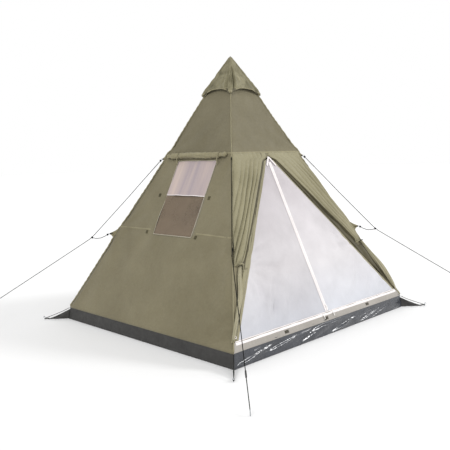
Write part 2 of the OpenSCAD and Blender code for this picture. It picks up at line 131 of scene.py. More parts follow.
class Shade:
    """A material under construction, with short names for the nodes it uses."""

    def __init__(self, name, rough, sheen=0.0, metallic=0.0, specular=0.5):
        self.material = bpy.data.materials.new(name)
        self.material.use_nodes = True
        self.tree = self.material.node_tree
        self.shader = self.tree.nodes["Principled BSDF"]
        self.set(Roughness=rough, Metallic=metallic, Sheen_Weight=sheen, Specular_IOR_Level=specular)
        self.where = self.coords()

    def feed(self, socket, value):
        """Sets a socket to a value, or links another node's output to it."""
        if isinstance(value, bpy.types.NodeSocket):
            self.tree.links.new(value, socket)
        else:
            socket.default_value = value

    def set(self, **values):
        for key, value in values.items():
            self.feed(self.shader.inputs[key.replace("_", " ")], value)

    def node(self, kind, **values):
        n = self.tree.nodes.new("ShaderNode" + kind)
        for key, value in values.items():
            self.feed(n.inputs[key], value)
        return n

    def coords(self, stretch=(1, 1, 1), lean=0.0):
        at = self.node("TexCoord").outputs["Object"]
        return self.node("Mapping", Vector=at, Scale=stretch, Rotation=(0, lean, 0)).outputs["Vector"]

    def noise(self, scale, detail=4.0, rough=0.5, distortion=0.0, where=None):
        n = self.node("TexNoise", Scale=scale, Detail=detail, Roughness=rough, Distortion=distortion)
        self.feed(n.inputs["Vector"], where or self.where)
        return n.outputs["Fac"]

    def ramp(self, fac, *stops):
        """A stop is a place and a colour, or a place and one number for a grey."""
        n = self.node("ValToRGB", Fac=fac)
        ramp = n.color_ramp
        while len(ramp.elements) < len(stops):
            ramp.elements.new(0.5)
        for element, (at, colour) in zip(ramp.elements, stops):
            element.position = at
            element.color = (*(colour if isinstance(colour, tuple) else (colour,) * 3), 1)
        return n.outputs["Color"]

    def patches(self, fac, low, high, dark, light):
        """A drift from dark to light, both given as sRGB bytes."""
        return self.ramp(fac, (low, srgb(*dark)), (high, srgb(*light)))

    def darken(self, colour, by, fac=1.0):
        mix = self.tree.nodes.new("ShaderNodeMix")
        mix.data_type, mix.blend_type = "RGBA", "MULTIPLY"
        mix.inputs["Factor"].default_value = fac
        self.tree.links.new(colour, mix.inputs[6])
        self.tree.links.new(by, mix.inputs[7])
        return mix.outputs[2]

    def maths(self, kind, a, b):
        n = self.node("Math")
        n.operation = kind
        for socket, value in zip(n.inputs, (a, b)):
            self.feed(socket, value)
        return n.outputs[0]

    def height(self, share):
        """The point's height times share."""
        return self.maths("MULTIPLY", self.node("SeparateXYZ", Vector=self.where).outputs["Z"], share)

    def bumps(self, *layers):
        """Bumps one on another: (height output, strength, distance in metres)."""
        below = None
        for height, strength, distance in layers:
            bump = self.node("Bump", Height=height, Strength=strength, Distance=distance)
            if below is not None:
                self.tree.links.new(below, bump.inputs["Normal"])
            below = bump.outputs["Normal"]
        self.set(Normal=below)

    def weave(self, per_metre):
        """Height of a plain weave: threads along the frame's axes."""
        heights = []
        for direction in ("X", "Y", "Z"):
            wave = self.node("TexWave", Vector=self.where, Scale=per_metre, Distortion=0.4)
            wave.bands_direction = direction
            heights.append(wave.outputs["Fac"])
        return self.maths("MULTIPLY", self.maths("MAXIMUM", heights[0], heights[1]), heights[2])


def cloth_material(
    name, dark, light, rough=0.78, sheen=0.12, threads=260, crinkle=0.25, patchy=2.2, weathered=0.18, upper=1.0,
):
    """Woven cloth, patchy and worn. upper is the tone of the canopy above its tier."""
    s = Shade(name, rough, sheen, specular=0.35)
    colour = s.patches(s.noise(patchy, 5, 0.55, 0.6), 0.3, 0.72, dark, light)
    colour = s.darken(colour, s.ramp(s.noise(46, 6, 0.7), (0.25, 1 - weathered), (0.75, 1)))
    cloth = s.weave(threads)
    colour = s.darken(colour, s.ramp(cloth, (0.0, 0.86), (0.6, 1)), 0.8)
    if upper != 1.0:
        colour = s.darken(colour, s.ramp(s.height(0.4), (0.61, 1), (0.65, upper)))
    worn = s.ramp(s.noise(9, 5, 0.6), (0.3, rough - 0.08), (0.7, rough + 0.1))
    s.set(Base_Color=colour, Roughness=worn)
    crumple = s.noise(17, 7, 0.62, 0.8, s.coords((1, 1, 0.45)))
    s.bumps((crumple, crinkle, 0.006), (cloth, 0.2, 0.0005))
    return s.material


def sheet_plastic_material(name, dark, light, rough, crinkle, coat=0.0):
    """Coated groundsheet: woven tape under a film, with crinkles that catch the light."""
    s = Shade(name, rough, specular=0.42)
    rub = s.ramp(s.noise(22, 5, 0.7), (0.3, max(rough - 0.12, 0.05)), (0.75, rough + 0.14))
    colour = s.patches(s.noise(7, 6, 0.6, 1.2), 0.3, 0.75, dark, light)
    s.set(Coat_Weight=coat, Coat_Roughness=0.16, Base_Color=colour, Roughness=rub)
    along = s.coords((0.35, 0.35, 2.4), 0.12)
    big, small = s.noise(11, 4, 0.55, 1.4, along), s.noise(38, 6, 0.7, 0.9, along)
    s.bumps((big, crinkle, 0.02), (small, crinkle * 0.8, 0.006), (s.weave(120), 0.1, 0.0004))
    return s.material


def net_material(name, dark, light, alpha, low, high, painted_floor_tint=None):
    """Fine net: mostly see-through holes at this scale, so the alpha is an average that drifts softly."""
    s = Shade(name, 0.85, 0.2, specular=0.2)
    tone = s.patches(s.noise(1.8, 4, 0.5, 0.5), 0.3, 0.7, dark, light)
    # Greyer towards the top and cool low down: painted shade of the dark inside behind the net, and painted light of
    # the lit floor showing through it.
    if painted_floor_tint is not None:
        tone = s.darken(tone, s.ramp(s.height(0.7), (0.12, painted_floor_tint), (0.42, 1), (0.9, (0.84, 0.81, 0.82))))
    holes = s.weave(190)
    drift = s.maths("ADD", s.noise(5, 5, 0.6), s.maths("MULTIPLY", holes, 0.3))
    s.set(Base_Color=tone, Alpha=s.ramp(drift, (0.35, alpha - low), (0.9, alpha + high)))
    s.bumps((s.noise(15, 5, 0.6), 0.1, 0.004), (holes, 0.2, 0.0004))
    return s.material


def fold_shaded_material(name, dark, light):
    """Thin closed curtain with soft folds that run up the slope; the folds' shade is painted into its colour as light
    and dark streaks.
    """
    s = Shade(name, 0.8, 0.2, specular=0.3)
    folds_and_shade = s.noise(2.2, 4, 0.5, 0.2, s.coords((0.3, 4.5, 0.45)))
    s.set(Base_Color=s.patches(folds_and_shade, 0.32, 0.68, dark, light))
    s.bumps((folds_and_shade, 0.25, 0.006), (s.weave(260), 0.15, 0.0004))
    return s.material


def metal_material(name, dark, light, rough):
    s = Shade(name, rough, metallic=1.0)
    scratches = s.noise(120, 6, 0.7, where=s.coords((1, 1, 0.08)))
    spots = s.ramp(s.noise(60, 5, 0.6), (0.3, rough - 0.1), (0.7, rough + 0.15))
    s.set(Base_Color=s.patches(scratches, 0.3, 0.7, dark, light), Roughness=spots)
    s.bumps((scratches, 0.12, 0.0004))
    return s.material


def plastic_material(name, dark, light, rough):
    s = Shade(name, rough)
    s.set(Base_Color=s.patches(s.noise(40, 4), 0.3, 0.7, dark, light))
    s.bumps((s.noise(700, 3, 0.6), 0.2, 0.0003))
    return s.material


def braid_material(name, dark, light, scale=420):
    """Braided cord or webbing."""
    s = Shade(name, 0.85, specular=0.12)
    plait = s.node("TexVoronoi", Vector=s.where, Scale=scale).outputs["Distance"]
    s.set(Base_Color=s.patches(plait, 0.0, 0.6, light, dark))
    s.bumps((plait, 0.5, 0.0008))
    return s.material


OLIVE = cloth_material("olive_cloth", (109, 102, 78), (122, 115, 90), upper=0.86)
OLIVE_CAP = cloth_material("olive_cap_cloth", (84, 79, 52), (142, 136, 108), patchy=8.0, crinkle=0.5)
OLIVE_FLAP = cloth_material("olive_flap_cloth", (126, 120, 92), (146, 140, 112), crinkle=0.3)
OLIVE_PALE = cloth_material("olive_pale_cloth", (142, 136, 110), (162, 156, 130), crinkle=0.3)
# Dark olive used only as painted shade: under the cap, beneath its hem, along the flaps' inner edges and on the zip
# guards.
OLIVE_PAINTED_SHADE = cloth_material("olive_shadow_cloth", (66, 61, 40), (84, 78, 54))
OLIVE_SEAM = cloth_material("olive_seam_cloth", (120, 113, 86), (146, 139, 110), threads=420)
SILL = cloth_material("sill_cloth", (150, 145, 138), (164, 159, 152), sheen=0.05)
BINDING = cloth_material("binding_cloth", (130, 124, 98), (148, 142, 116), threads=420)
TRIM = cloth_material("window_trim_cloth", (158, 152, 134), (188, 182, 166), threads=420)
ZIP_LOOK = dict(threads=420, crinkle=0.08, weathered=0.06)
ZIP_WHITE = cloth_material("zip_tape_cloth", (218, 211, 210), (232, 226, 225), **ZIP_LOOK)
ZIP_COIL = plastic_material("zip_coil", (206, 203, 201), (226, 223, 221), 0.4)
HOOK_LOOK = dict(rough=0.9, crinkle=0.6)
HOOK_PATCH = cloth_material("hook_patch", (58, 54, 44), (84, 78, 66), weathered=0.5, **HOOK_LOOK)
HOOK_OLIVE = cloth_material("hook_patch_olive", (62, 57, 34), (82, 76, 50), weathered=0.4, **HOOK_LOOK)
GROUND_MATTE = sheet_plastic_material("groundsheet_side", (38, 37, 36), (54, 53, 51), 0.6, 0.3)
GROUND_SHINY = sheet_plastic_material("groundsheet_front", (26, 29, 36), (48, 52, 60), 0.3, 0.1, 0.6)
GROUND_FLOOR = sheet_plastic_material("groundsheet_floor", (132, 138, 150), (158, 164, 176), 0.45, 0.5)
NET_LOOK = (0.86, 0.06, 0.05, (0.90, 0.95, 1.0))
DOOR_NET = net_material("door_net", (190, 186, 188), (202, 199, 201), *NET_LOOK)
# The right leaf's net is the same net as the left's, painted lighter: painted light.
DOOR_NET_RIGHT_PAINTED_LIGHT = net_material("door_net_right", (200, 197, 199), (214, 211, 213), *NET_LOOK)
# The window's white net is painted dark brown: painted shade of the tent's inside seen through it.
WINDOW_NET = net_material("window_net", (108, 95, 80), (134, 118, 99), 0.72, 0.1, 0.1)
VENT_NET = net_material("vent_net", (50, 52, 44), (74, 74, 62), 0.8, 0.1, 0.1)
CURTAIN = fold_shaded_material("curtain_cloth", (148, 137, 141), (178, 162, 154))
CORD = braid_material("braided_cord", (8, 9, 8), (24, 26, 24))
WEBBING = braid_material("webbing", (30, 32, 30), (58, 58, 54), 520)
STEEL = metal_material("galvanised_steel", (140, 143, 146), (178, 181, 184), 0.38)
POLE_STEEL = metal_material("pole_steel", (120, 124, 126), (160, 163, 165), 0.35)
PLASTIC = plastic_material("moulded_plastic", (30, 30, 30), (44, 44, 44), 0.5)
ZIP_METAL = plastic_material("painted_slider", (206, 203, 199), (226, 223, 219), 0.35)
studio = Shade("studio_floor", 0.95)
studio.set(Base_Color=(0.76, 0.76, 0.76, 1))

# ---- Mesh helpers ----


def row(low, high, count):
    return np.linspace(low, high, count)[None]


def column(low, high, count):
    return np.linspace(low, high, count)[:, None]


def bell(x, at, width):
    return np.exp(-(((x - at) / width) ** 2))


def ease(x, low, high):
    """0 below low, 1 above high, smooth between."""
    t = np.clip((x - low) / (high - low), 0, 1)
    return t * t * (3 - 2 * t)


def full_turn(count):
    return np.linspace(0, 2 * math.pi, count, endpoint=False)


def ring_line(centre, a, b, count):
    """A closed loop with the half axes a and b."""
    t = full_turn(count)[:, None]
    return centre + np.cos(t) * a + np.sin(t) * b


def make_object(name, points, faces, materials, indices=None, smooth=True):
    data = bpy.data.meshes.new(name)
    data.from_pydata([tuple(map(float, p)) for p in points], [], [tuple(map(int, f)) for f in faces])
    for m in materials if isinstance(materials, list) else [materials]:
        data.materials.append(m)
    if indices is not None:
        data.polygons.foreach_set("material_index", np.asarray(indices, np.int32))
    data.polygons.foreach_set("use_smooth", [smooth] * len(data.polygons))
    data.update()
    return link(name, data)


def grid_faces(rows, cols, first=0, keep=None, close=False):
    """Quads of a grid of rows x cols points. keep(i, j) may leave some out."""
    faces = []
    for i in range(rows - 1):
        low, high = first + i * cols, first + (i + 1) * cols
        for j in range(cols if close else cols - 1):
            if keep is None or keep(i, j):
                k = (j + 1) % cols
                faces.append((low + j, low + k, high + k, high + j))
    return faces


def place(obj, body, slot, *nodes):
    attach(obj, body)
    if nodes:
        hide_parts(*nodes)
    return obj


class Builder:
    """Collects grids and tubes into one mesh."""

    def __init__(self):
        self.points, self.faces, self.indices = [], [], []

    def add(self, points, faces, indices):
        self.points.extend(points)
        self.faces.extend(faces)
        self.indices.extend(indices)

    def grid(self, p, keep=None, index=0, close=False):
        """index is a material, or index(i, j) gives each quad's where none is left out."""
        rows, cols = p.shape[:2]
        faces = grid_faces(rows, cols, len(self.points), keep, close)
        if callable(index):
            indices = [index(*divmod(i, cols - 1)) for i in range(len(faces))]
        else:
            indices = [index] * len(faces)
        self.add(p.reshape(-1, 3), faces, indices)

    def tube(self, line, width, height=None, facing=UP, sides=10, closed=False, index=0, taper=None):
        """A tube round a line: width across facing, height along it. taper(t) scales it."""
        line = np.asarray(line, float)
        n = len(line)
        height = width if height is None else height
        along = np.roll(line, -1, 0) - np.roll(line, 1, 0) if closed else np.gradient(line, axis=0)
        along /= np.linalg.norm(along, axis=1)[:, None]
        facing = np.broadcast_to(np.asarray(facing, float), line.shape)
        b = facing - (facing * along).sum(1)[:, None] * along
        b /= np.linalg.norm(b, axis=1)[:, None]
        a = np.cross(b, along)
        size = np.ones(n) if taper is None else np.array([taper(i / (n - 1)) for i in range(n)])
        angle = (2 * math.pi * np.arange(sides) / sides)[None, :, None]
        ring = a[:, None] * np.cos(angle) * width / 2 + b[:, None] * np.sin(angle) * height / 2
        p = line[:, None] + ring * size[:, None, None]
        first = len(self.points)
        last = first + (n - 1) * sides
        faces = grid_faces(n, sides, first, close=True)
        if closed:
            turn = [(j + 1) % sides for j in range(sides)]
            faces += [(last + j, last + k, first + k, first + j) for j, k in enumerate(turn)]
        else:
            faces += [tuple(range(first + sides - 1, first - 1, -1)), tuple(range(last, last + sides))]
        self.add(p.reshape(-1, 3), faces, [index] * len(faces))

    def object(self, name, materials, thick=0.0, offset=-1.0, weld=False, smooth=True):
        obj = make_object(name, self.points, self.faces, materials, self.indices, smooth)
        mesh = bmesh.new()
        mesh.from_mesh(obj.data)
        if weld:
            bmesh.ops.remove_doubles(mesh, verts=mesh.verts, dist=1e-5)
        loose = [v for v in mesh.verts if not v.link_faces]
        bmesh.ops.delete(mesh, geom=loose, context="VERTS")
        if not thick:
            bmesh.ops.recalc_face_normals(mesh, faces=mesh.faces)
        mesh.to_mesh(obj.data)
        mesh.free()
        if thick:
            solid = obj.modifiers.new("thickness", "SOLIDIFY")
            solid.thickness, solid.offset = thick, offset
        return obj

    def place(self, name, materials, slot, *nodes, body="tent", **solid):
        return place(self.object(name, materials, **solid), body, slot, *nodes)


def waves(p, scale, seed, layers=3, falloff=0.5):
    """Smooth seeded noise from sums of sines, about -1 to 1."""
    rng = np.random.default_rng(seed)
    total, weight = np.zeros(p.shape[:-1]), 0.0
    for k in range(layers):
        for _ in range(5):
            d = rng.normal(size=3)
            d /= np.linalg.norm(d)
            rate = scale * 2**k * rng.uniform(0.7, 1.3) * 2 * math.pi
            total += falloff**k * np.sin(p @ d * rate + rng.uniform(0, 6.28))
        weight += falloff**k * 2.2
    return total / weight


def creases(a, b, count, seed, span_a, span_b, lean, width, length, scatter=0.35):
    """Sharp little ridges and valleys at seeded places of a sheet with coordinates a, b in metres."""
    rng = np.random.default_rng(seed)
    total = np.zeros(a.shape)
    for _ in range(count):
        ca, cb = rng.uniform(*span_a), rng.uniform(*span_b)
        angle = lean + rng.normal(0, scatter)
        da, db = math.cos(angle), math.sin(angle)
        along = (a - ca) * da + (b - cb) * db
        across = -(a - ca) * db + (b - cb) * da
        w, l = width * rng.uniform(0.5, 1.5), length * rng.uniform(0.5, 1.6)
        total += rng.choice([-1, 1]) * rng.uniform(0.4, 1) * np.exp(-np.abs(across) / w) * bell(along, 0, l)
    return total


# ---- The canopy's own surface ----

FACE_HIPS = {
    "front": ("near", "right"), "right": ("right", "far"), "back": ("far", "left"), "left": ("left", "near"),
}
LEAN_RUN = (SKIRT_GIRTH - TIER_GIRTH) / (TIER_H - SKIRT_H)
FACE_OUT = {}
for face, (ox, oy, half) in {
    "front": (0, -1, BASE_D / 2), "right": (1, 0, BASE_W / 2), "back": (0, 1, BASE_D / 2), "left": (-1, 0, BASE_W / 2),
}.items():
    out = np.array([ox, oy, LEAN_RUN * half])
    FACE_OUT[face] = out / np.linalg.norm(out)
HIP_LEVEL, HIP_RISE = 0.82, 0.572                            # the outward direction at a hip
TAB_PULLS = [(0.862, 0.016, 0.085), (1.585, 0.02, 0.045)]    # height, pull and spread of the guy tabs
PULL_REACH = 0.15
TAB_FANS = [(0.862, 0.0055, 0.42), (1.575, 0.0042, 0.3)]     # height, size and reach of the creases at the tabs


def tab_pull(z):
    return sum(pull * bell(z, at, spread) for at, pull, spread in TAB_PULLS)


def skin(side, u, z, lift=0.0):
    """Points on a face, drawn out at the guy tabs and lifted along the outward direction."""
    u, z, lift = (np.array(v, float) for v in np.broadcast_arrays(u, z, lift))
    hx, hy = half_x(z), half_y(z)
    flat = {"front": (u * hx, -hy), "right": (hx, u * hy), "back": (-u * hx, hy), "left": (-hx, -u * hy)}[side]
    p = np.stack([flat[0], flat[1], z], -1)
    low, high = (RADIAL[n] for n in FACE_HIPS[side])
    radial = np.where((u > 0)[..., None], high, low)
    share = ease(np.abs(u), 0.86, 1.0)[..., None]
    out = FACE_OUT[side] * (1 - share) + (radial * HIP_LEVEL + UP * HIP_RISE) * share
    out /= np.linalg.norm(out, axis=-1)[..., None]
    from_hip = np.maximum(1 - np.abs(u), 0) * half_width(side, z)
    pulled = tab_pull(z) * np.exp(-((from_hip / PULL_REACH) ** 1.4))
    return p + radial * pulled[..., None] + out * lift[..., None]


def canopy_lift(side, u, z):
    """Soft unevenness of the taut cloth, the lines drawn from the tabs and the puckers along the seams."""
    u, z = (np.array(v, float) for v in np.broadcast_arrays(u, z))
    p = skin(side, u, z)
    width = half_width(side, z)
    from_hip = (1 - np.abs(u)) * width
    stretched = p * (1, 1, 0.35)
    lift = 0.0045 * waves(stretched, 1.6, 11, 3, 0.55) + 0.0016 * waves(stretched, 6.5, 12, 2)
    for at, size, reach in TAB_FANS:
        distance = np.hypot(from_hip, z - at) + 1e-6
        angle = np.arctan2(z - at, from_hip + 0.02)
        lift += size * np.sin(angle * 9 + np.sign(u) * 1.3) * np.exp(-distance / reach) * ease(distance, 0.0, 0.1)
    pucker = np.sin(z * 2 * math.pi / 0.047 + 3 * waves(p, 2.0, 5, 2)) * np.exp(-from_hip / 0.03)
    low_folds = (1 - ease(z, 0.5, 0.8)) * np.exp(-from_hip / 0.16) * ease(from_hip, 0.005, 0.05)
    low_folds *= np.sin(from_hip * 2 * math.pi / 0.085 + 2.5 * z + np.sign(u))
    seam = np.sin(u * width * 2 * math.pi / 0.052 + 4 * waves(p, 1.7, 6, 2)) * np.exp(-np.abs(z - TIER_H) / 0.04)
    lift += 0.0014 * pucker + 0.012 * low_folds + 0.0016 * seam * ease(from_hip, 0, 0.05)
    return lift * ease(z, SKIRT_H - 0.02, SKIRT_H + 0.12)


def canopy_skin(side, u, z, lift=0.0):
    return skin(side, u, z, canopy_lift(side, u, z) + lift)


def front(x, z, lift=0.0, on=skin):
    """Points of the door face, x metres from its middle line."""
    return on("front", x / half_x(z), z, lift)


# ---- Cords, along part.scad's routes ----

FORK = (1.400, 0.800)
GUY_REACH = {"near": 2.45, "left": 2.65, "right": 2.65, "far": 2.65}
GUY_SWING = {"near": 0.11, "left": 0.0, "right": 0.0, "far": 0.0}
PEG_EYE_Z = 0.026
GUY_UPPER = [(0.699, 1.527), (0.860, 1.360), (1.040, 1.170), (1.220, 0.985), FORK]
BRANCH = [(1.243, 0.825), (1.270, 0.811), (1.310, 0.796), (1.355, 0.792), (1.388, 0.797)]
CORNER_CORD = [(1.652, 0.110), (1.720, 0.080), (1.800, 0.050), (1.888, 0.016)]
KNOTS = [GUY_UPPER[0], BRANCH[0], (1.394, 0.801)]
KNOT_SIZE, KNOT_CORD = 0.009, 0.0052
GUY_D, CORNER_D = 0.006, 0.005


def guy_route(name):
    """Down the hip to the fork, then straight to the peg."""
    (r, z), reach, swing = FORK, GUY_REACH[name], GUY_SWING[name]
    upper = [corner_point(name, *at) for at in GUY_UPPER]
    steps = (0.25, 0.5, 0.75, 1.0)
    return upper + [corner_point(name, r + (reach - r) * s, z + (PEG_EYE_Z - z) * s, swing * s) for s in steps]


def spread_points(route, count, sag):
    """Points spaced evenly along a route, hung a little lower between its ends."""
    route = np.array([tuple(p) for p in route])
    along = np.concatenate([[0], np.cumsum(np.linalg.norm(np.diff(route, axis=0), axis=1))])
    at = np.linspace(0, along[-1], count)
    p = np.stack([np.interp(at, along, route[:, k]) for k in range(3)], 1)
    p[:, 2] -= sag * np.sin(math.pi * at / along[-1])
    return p


def cord(name, node, route, diameter, count, sag):
    data = bpy.data.curves.new(name, "CURVE")
    data.dimensions = "3D"
    points = spread_points(route, count, sag)
    spline = data.splines.new("POLY")
    spline.points.add(count - 1)
    for dot, p in zip(spline.points, points):
        dot.co = (*map(float, p), 1)
    data.bevel_depth, data.bevel_resolution = diameter / 2, 3
    data.use_fill_caps = True
    data.materials.append(CORD)
    return place(link(name, data), "tent", "cord", node)


def knot_line(centre, size, ux, uy, uz):
    """A trefoil, as a small pulled-tight knot."""
    t = full_turn(48)
    x = np.sin(t) + 2 * np.sin(2 * t)
    y = np.cos(t) - 2 * np.cos(2 * t)
    z = -np.sin(3 * t)
    return np.array(centre) + size / 3 * (x[:, None] * ux + y[:, None] * uy + 0.9 * z[:, None] * uz)


knots = Builder()
for name in CORNERS:
    for at in KNOTS:
        line = knot_line(corner_point(name, *at), KNOT_SIZE, RADIAL[name], UP, ASIDE[name])
        knots.tube(line, KNOT_CORD, sides=8, closed=True)
knots.place("cord_knots", CORD, "cord")

nodes = frame["nodes"]
for name in CORNERS:
    branch_route = [corner_point(name, *at) for at in BRANCH]
    corner_route = [corner_point(name, *at) for at in CORNER_CORD]
    guy = cord(f"line_{name}", f"guy_line_{name}", guy_route(name), GUY_D, 37, 0.004)
    branch = cord(f"branch_{name}", f"guy_branch_{name}", branch_route, GUY_D, 16, 0.003)
    corner = cord(f"corner_line_{name}", f"corner_cord_{name}", corner_route, CORNER_D, 16, 0.003)
    tuple(corner_point(name, *GUY_UPPER[0]))
    tuple(branch_route[0])
    tuple(corner_route[0])

# ---- Canopy, one sheet round the whole tent, with the door and the window cut out of it ----


def rows(*stops, step=0.024):
    z = [stops[0]]
    for low, high in zip(stops, stops[1:]):
        count = max(1, math.ceil((high - low) / step))
        z.extend(np.linspace(low, high, count + 1)[1:])
    return np.array(z)


def bunched(count):
    """u from hip to hip, a little closer together at the hips."""
    t = np.linspace(-1, 1, count)
    return t * (1.2 - 0.2 * t * t)


def door_edge(z):
    """Half width of the door opening, closing at its top."""
    closing = KNEE_HALF_W * (DOOR_HIGH - z) / (DOOR_HIGH - KNEE_Z)
    return np.where(z < KNEE_Z, door_half(z), np.clip(closing, 0, None))


HEM_DROP, TINY = 0.014, 1e-6
WINDOW_COLS = 18
canopy_z = rows(SKIRT_H - HEM_DROP, SKIRT_H, DOOR_LOW, WINDOW_LOW, KNEE_Z, WINDOW_HIGH, DOOR_HIGH, TIER_H, VENT_LOW)
hem_lift = 0.0015 * (1 - ease(canopy_z, SKIRT_H - 0.01, SKIRT_H + 0.05))[:, None]
canopy = Builder()
for side in ("right", "back"):
    canopy.grid(canopy_skin(side, bunched(57)[None], canopy_z[:, None], hem_lift))
door_z = canopy_z[canopy_z > DOOR_LOW - TINY]
inner_u = (door_edge(door_z) / half_x(door_z))[:, None]
strip = row(0, 1, 29) * (1 - inner_u)
for start in (-1, inner_u):
    canopy.grid(canopy_skin("front", start + strip, door_z[:, None]))
window_low_y, window_high_y = WINDOW_MID - WINDOW_HALF_W, WINDOW_MID + WINDOW_HALF_W
reach_y = half_y(canopy_z)
u_start = (-np.minimum(window_high_y, 0.65 * reach_y) / reach_y)[:, None]
u_end = (np.minimum(-window_low_y, 0.65 * reach_y) / reach_y)[:, None]
share = row(0, 1, WINDOW_COLS + 1)
left_u = np.concatenate([
    -1 + share * (u_start + 1), u_start + share[:, 1:] * (u_end - u_start), u_end + share[:, 1:] * (1 - u_end),
], 1)


def beside_window(i, j):
    in_height = WINDOW_LOW - TINY <= canopy_z[i] < WINDOW_HIGH - TINY
    return not (in_height and WINDOW_COLS <= j < 2 * WINDOW_COLS)


canopy.grid(canopy_skin("left", left_u, canopy_z[:, None], hem_lift), keep=beside_window)
canopy_sheet = canopy.place(
    "canopy", OLIVE, "canopy_cloth", "canopy_front_upper", "canopy_front_strips", "canopy_left_upper",
    "canopy_left_middle", "canopy_left_lower", "canopy_right", "canopy_back", thick=0.0015, weld=True,
)

# Flat-felled seams and hems: raised bands sewn along the canopy
seams = Builder()
BAND = np.array([-0.5, -0.42, 0.42, 0.5])[:, None]
BAND_LIFT = np.array([0.0002, 0.0016, 0.0016, 0.0002])[:, None]
SEAM_Z, LEFT_SEAM_Z = 0.88, 0.9


def level_band(side, z, width, u_low=-0.995, u_high=0.995, extra=0.0, count=90, index=0):
    u = row(u_low, u_high, count)
    seams.grid(canopy_skin(side, u, z + width * BAND, BAND_LIFT + extra), index=index)


for side in FACE_HIPS:
    level_band(side, TIER_H + 0.003, 0.016)
    level_band(side, VENT_LOW - 0.006, 0.012)
for side in ("left", "right", "back"):
    level_band(side, SKIRT_H + 0.004, 0.024, extra=0.0012, index=1)
for side in ("right", "back"):
    level_band(side, SEAM_Z, 0.012)
level_band("left", LEFT_SEAM_Z, 0.012, -0.995, -window_high_y / half_y(SEAM_Z) - 0.07, count=40)
level_band("left", LEFT_SEAM_Z, 0.012, -window_low_y / half_y(SEAM_Z) + 0.07, 0.995, count=40)
seams.place("canopy_seams", [OLIVE_SEAM, OLIVE], "canopy_cloth")

# Piped seams down the four hips
HIP_AT = {"near": ("front", -1), "right": ("front", 1), "far": ("back", -1), "left": ("back", 1)}
hips = Builder()
hip_z = rows(SKIRT_H + 0.004, TIER_H, CAP_LOW - 0.01, step=0.012)
for name, (side, u) in HIP_AT.items():
    line = canopy_skin(side, u, hip_z, 0.004)
    wave = 0.0022 * waves(line, 9.0, 31 + len(name), 2) * ease(hip_z, 0.9, 1.6)
    hips.tube(line + ASIDE[name] * wave[:, None], 0.008, 0.013, RADIAL[name] + UP * 0.7)
hips.place("hip_piping", OLIVE_SEAM, "flap_cloth", "hip_seams")

# ---- Groundsheet ----

FLOOR_X, FLOOR_Y, FLOOR_Z, PATCH_R = 1.208, 1.128, 0.0014, 0.15
floor_cloth = Builder()
gx, gy = np.meshgrid(np.linspace(-FLOOR_X, FLOOR_X, 100), np.linspace(-FLOOR_Y, FLOOR_Y, 94))
ridges = creases(gx, gy, 46, 41, (-1.1, 1.1), (-1, 1), 0.6, 0.03, 0.5)
gz = 0.00072 * (1 + waves(np.stack([gx, gy, 0 * gx], -1), 1.4, 42, 3))
gz += 0.004 * np.abs(ridges) * (np.hypot(gx, gy) >= PATCH_R)
edge_fade = ease(np.minimum(FLOOR_X - np.abs(gx), FLOOR_Y - np.abs(gy)), 0, 0.06)
floor_cloth.grid(np.stack([gx, gy, FLOOR_Z + gz * edge_fade], -1))
floor_sheet = floor_cloth.place(
    "groundsheet_floor", [GROUND_FLOOR, GROUND_MATTE], "groundsheet", "floor_sheet", thick=0.001,
)
floor_sheet.modifiers["thickness"].material_offset = 1

wall = Builder()
wall_z = np.concatenate([[0.0016], np.linspace(0.007, SKIRT_H - 0.004, 15), [SKIRT_H + 0.004]])[:, None]
for k, side in enumerate(("front", "right", "back", "left")):
    u = row(-1, 1, 301)
    width = half_width(side, 0)
    a, b = u * width + 0 * wall_z, wall_z + 0 * u
    fade = ease((1 - np.abs(u)) * width, 0, 0.07) * ease(b, 0, 0.02) * (1 - ease(b, SKIRT_H - 0.045, SKIRT_H - 0.012))
    p = skin(side, u, wall_z)
    if side == "front":
        fine = creases(a, b, 90, 51, (-1.2, 1.2), (0, SKIRT_H), 0.18, 0.006, 0.16, 0.12)
        long = creases(a, b, 44, 52, (-1.2, 1.2), (-0.02, SKIRT_H), 0.16, 0.012, 0.42, 0.05)
        lift = 0.003 * fine + 0.014 * long + 0.005 * waves(p, 2.6, 53, 2)
    else:
        long = creases(a, b, 60, 54 + k, (-1.2, 1.2), (0, SKIRT_H), 0.1, 0.02, 0.16)
        lift = 0.0024 * long + 0.003 * waves(p, 2.0, 58, 2)
    wall.grid(skin(side, u, wall_z, np.clip(lift, -0.016, 0.020) * fade - 0.001), index=int(side == "front"))
wall.place(
    "groundsheet_wall", [GROUND_MATTE, GROUND_SHINY], "groundsheet", "skirt_walls", thick=0.0012, weld=True,
)

GUSSET_TOP, GUSSET_TIP_R = 0.1, 1.866
LOOP_AT = (1.878, 0.011)
gusset, loops = Builder(), Builder()
for name in CORNERS:
    t, s = row(0, 1, 16), column(0, 1, 10)
    top_r, foot_r = (float(hip_r(z)) - 0.004 for z in (GUSSET_TOP, 0.003))
    z_top = GUSSET_TOP * (1 - t) ** 1.25 + 0.008 * t
    r = (foot_r + (top_r - foot_r) * s) * (1 - t) + GUSSET_TIP_R * t
    z = 0.0026 + s * (z_top - 0.0026)
    aside = 0.005 * np.sin(s * 5 + t * 7 + len(name)) * np.sin(math.pi * t) * (0.3 + s)
    gusset.grid(corner_grid(name, r, aside, z))
    ring = ring_line(np.array(corner_point(name, *LOOP_AT)), RADIAL[name] * 0.024, ASIDE[name] * 0.0062, 28)
    loops.tube(ring, 0.0018, 0.007, sides=8, closed=True)
gusset.place("corner_gusset_cloth", GROUND_MATTE, "groundsheet", "corner_gussets", thick=0.0024, offset=0.0)
loops.place("corner_webbing", WEBBING, "webbing")

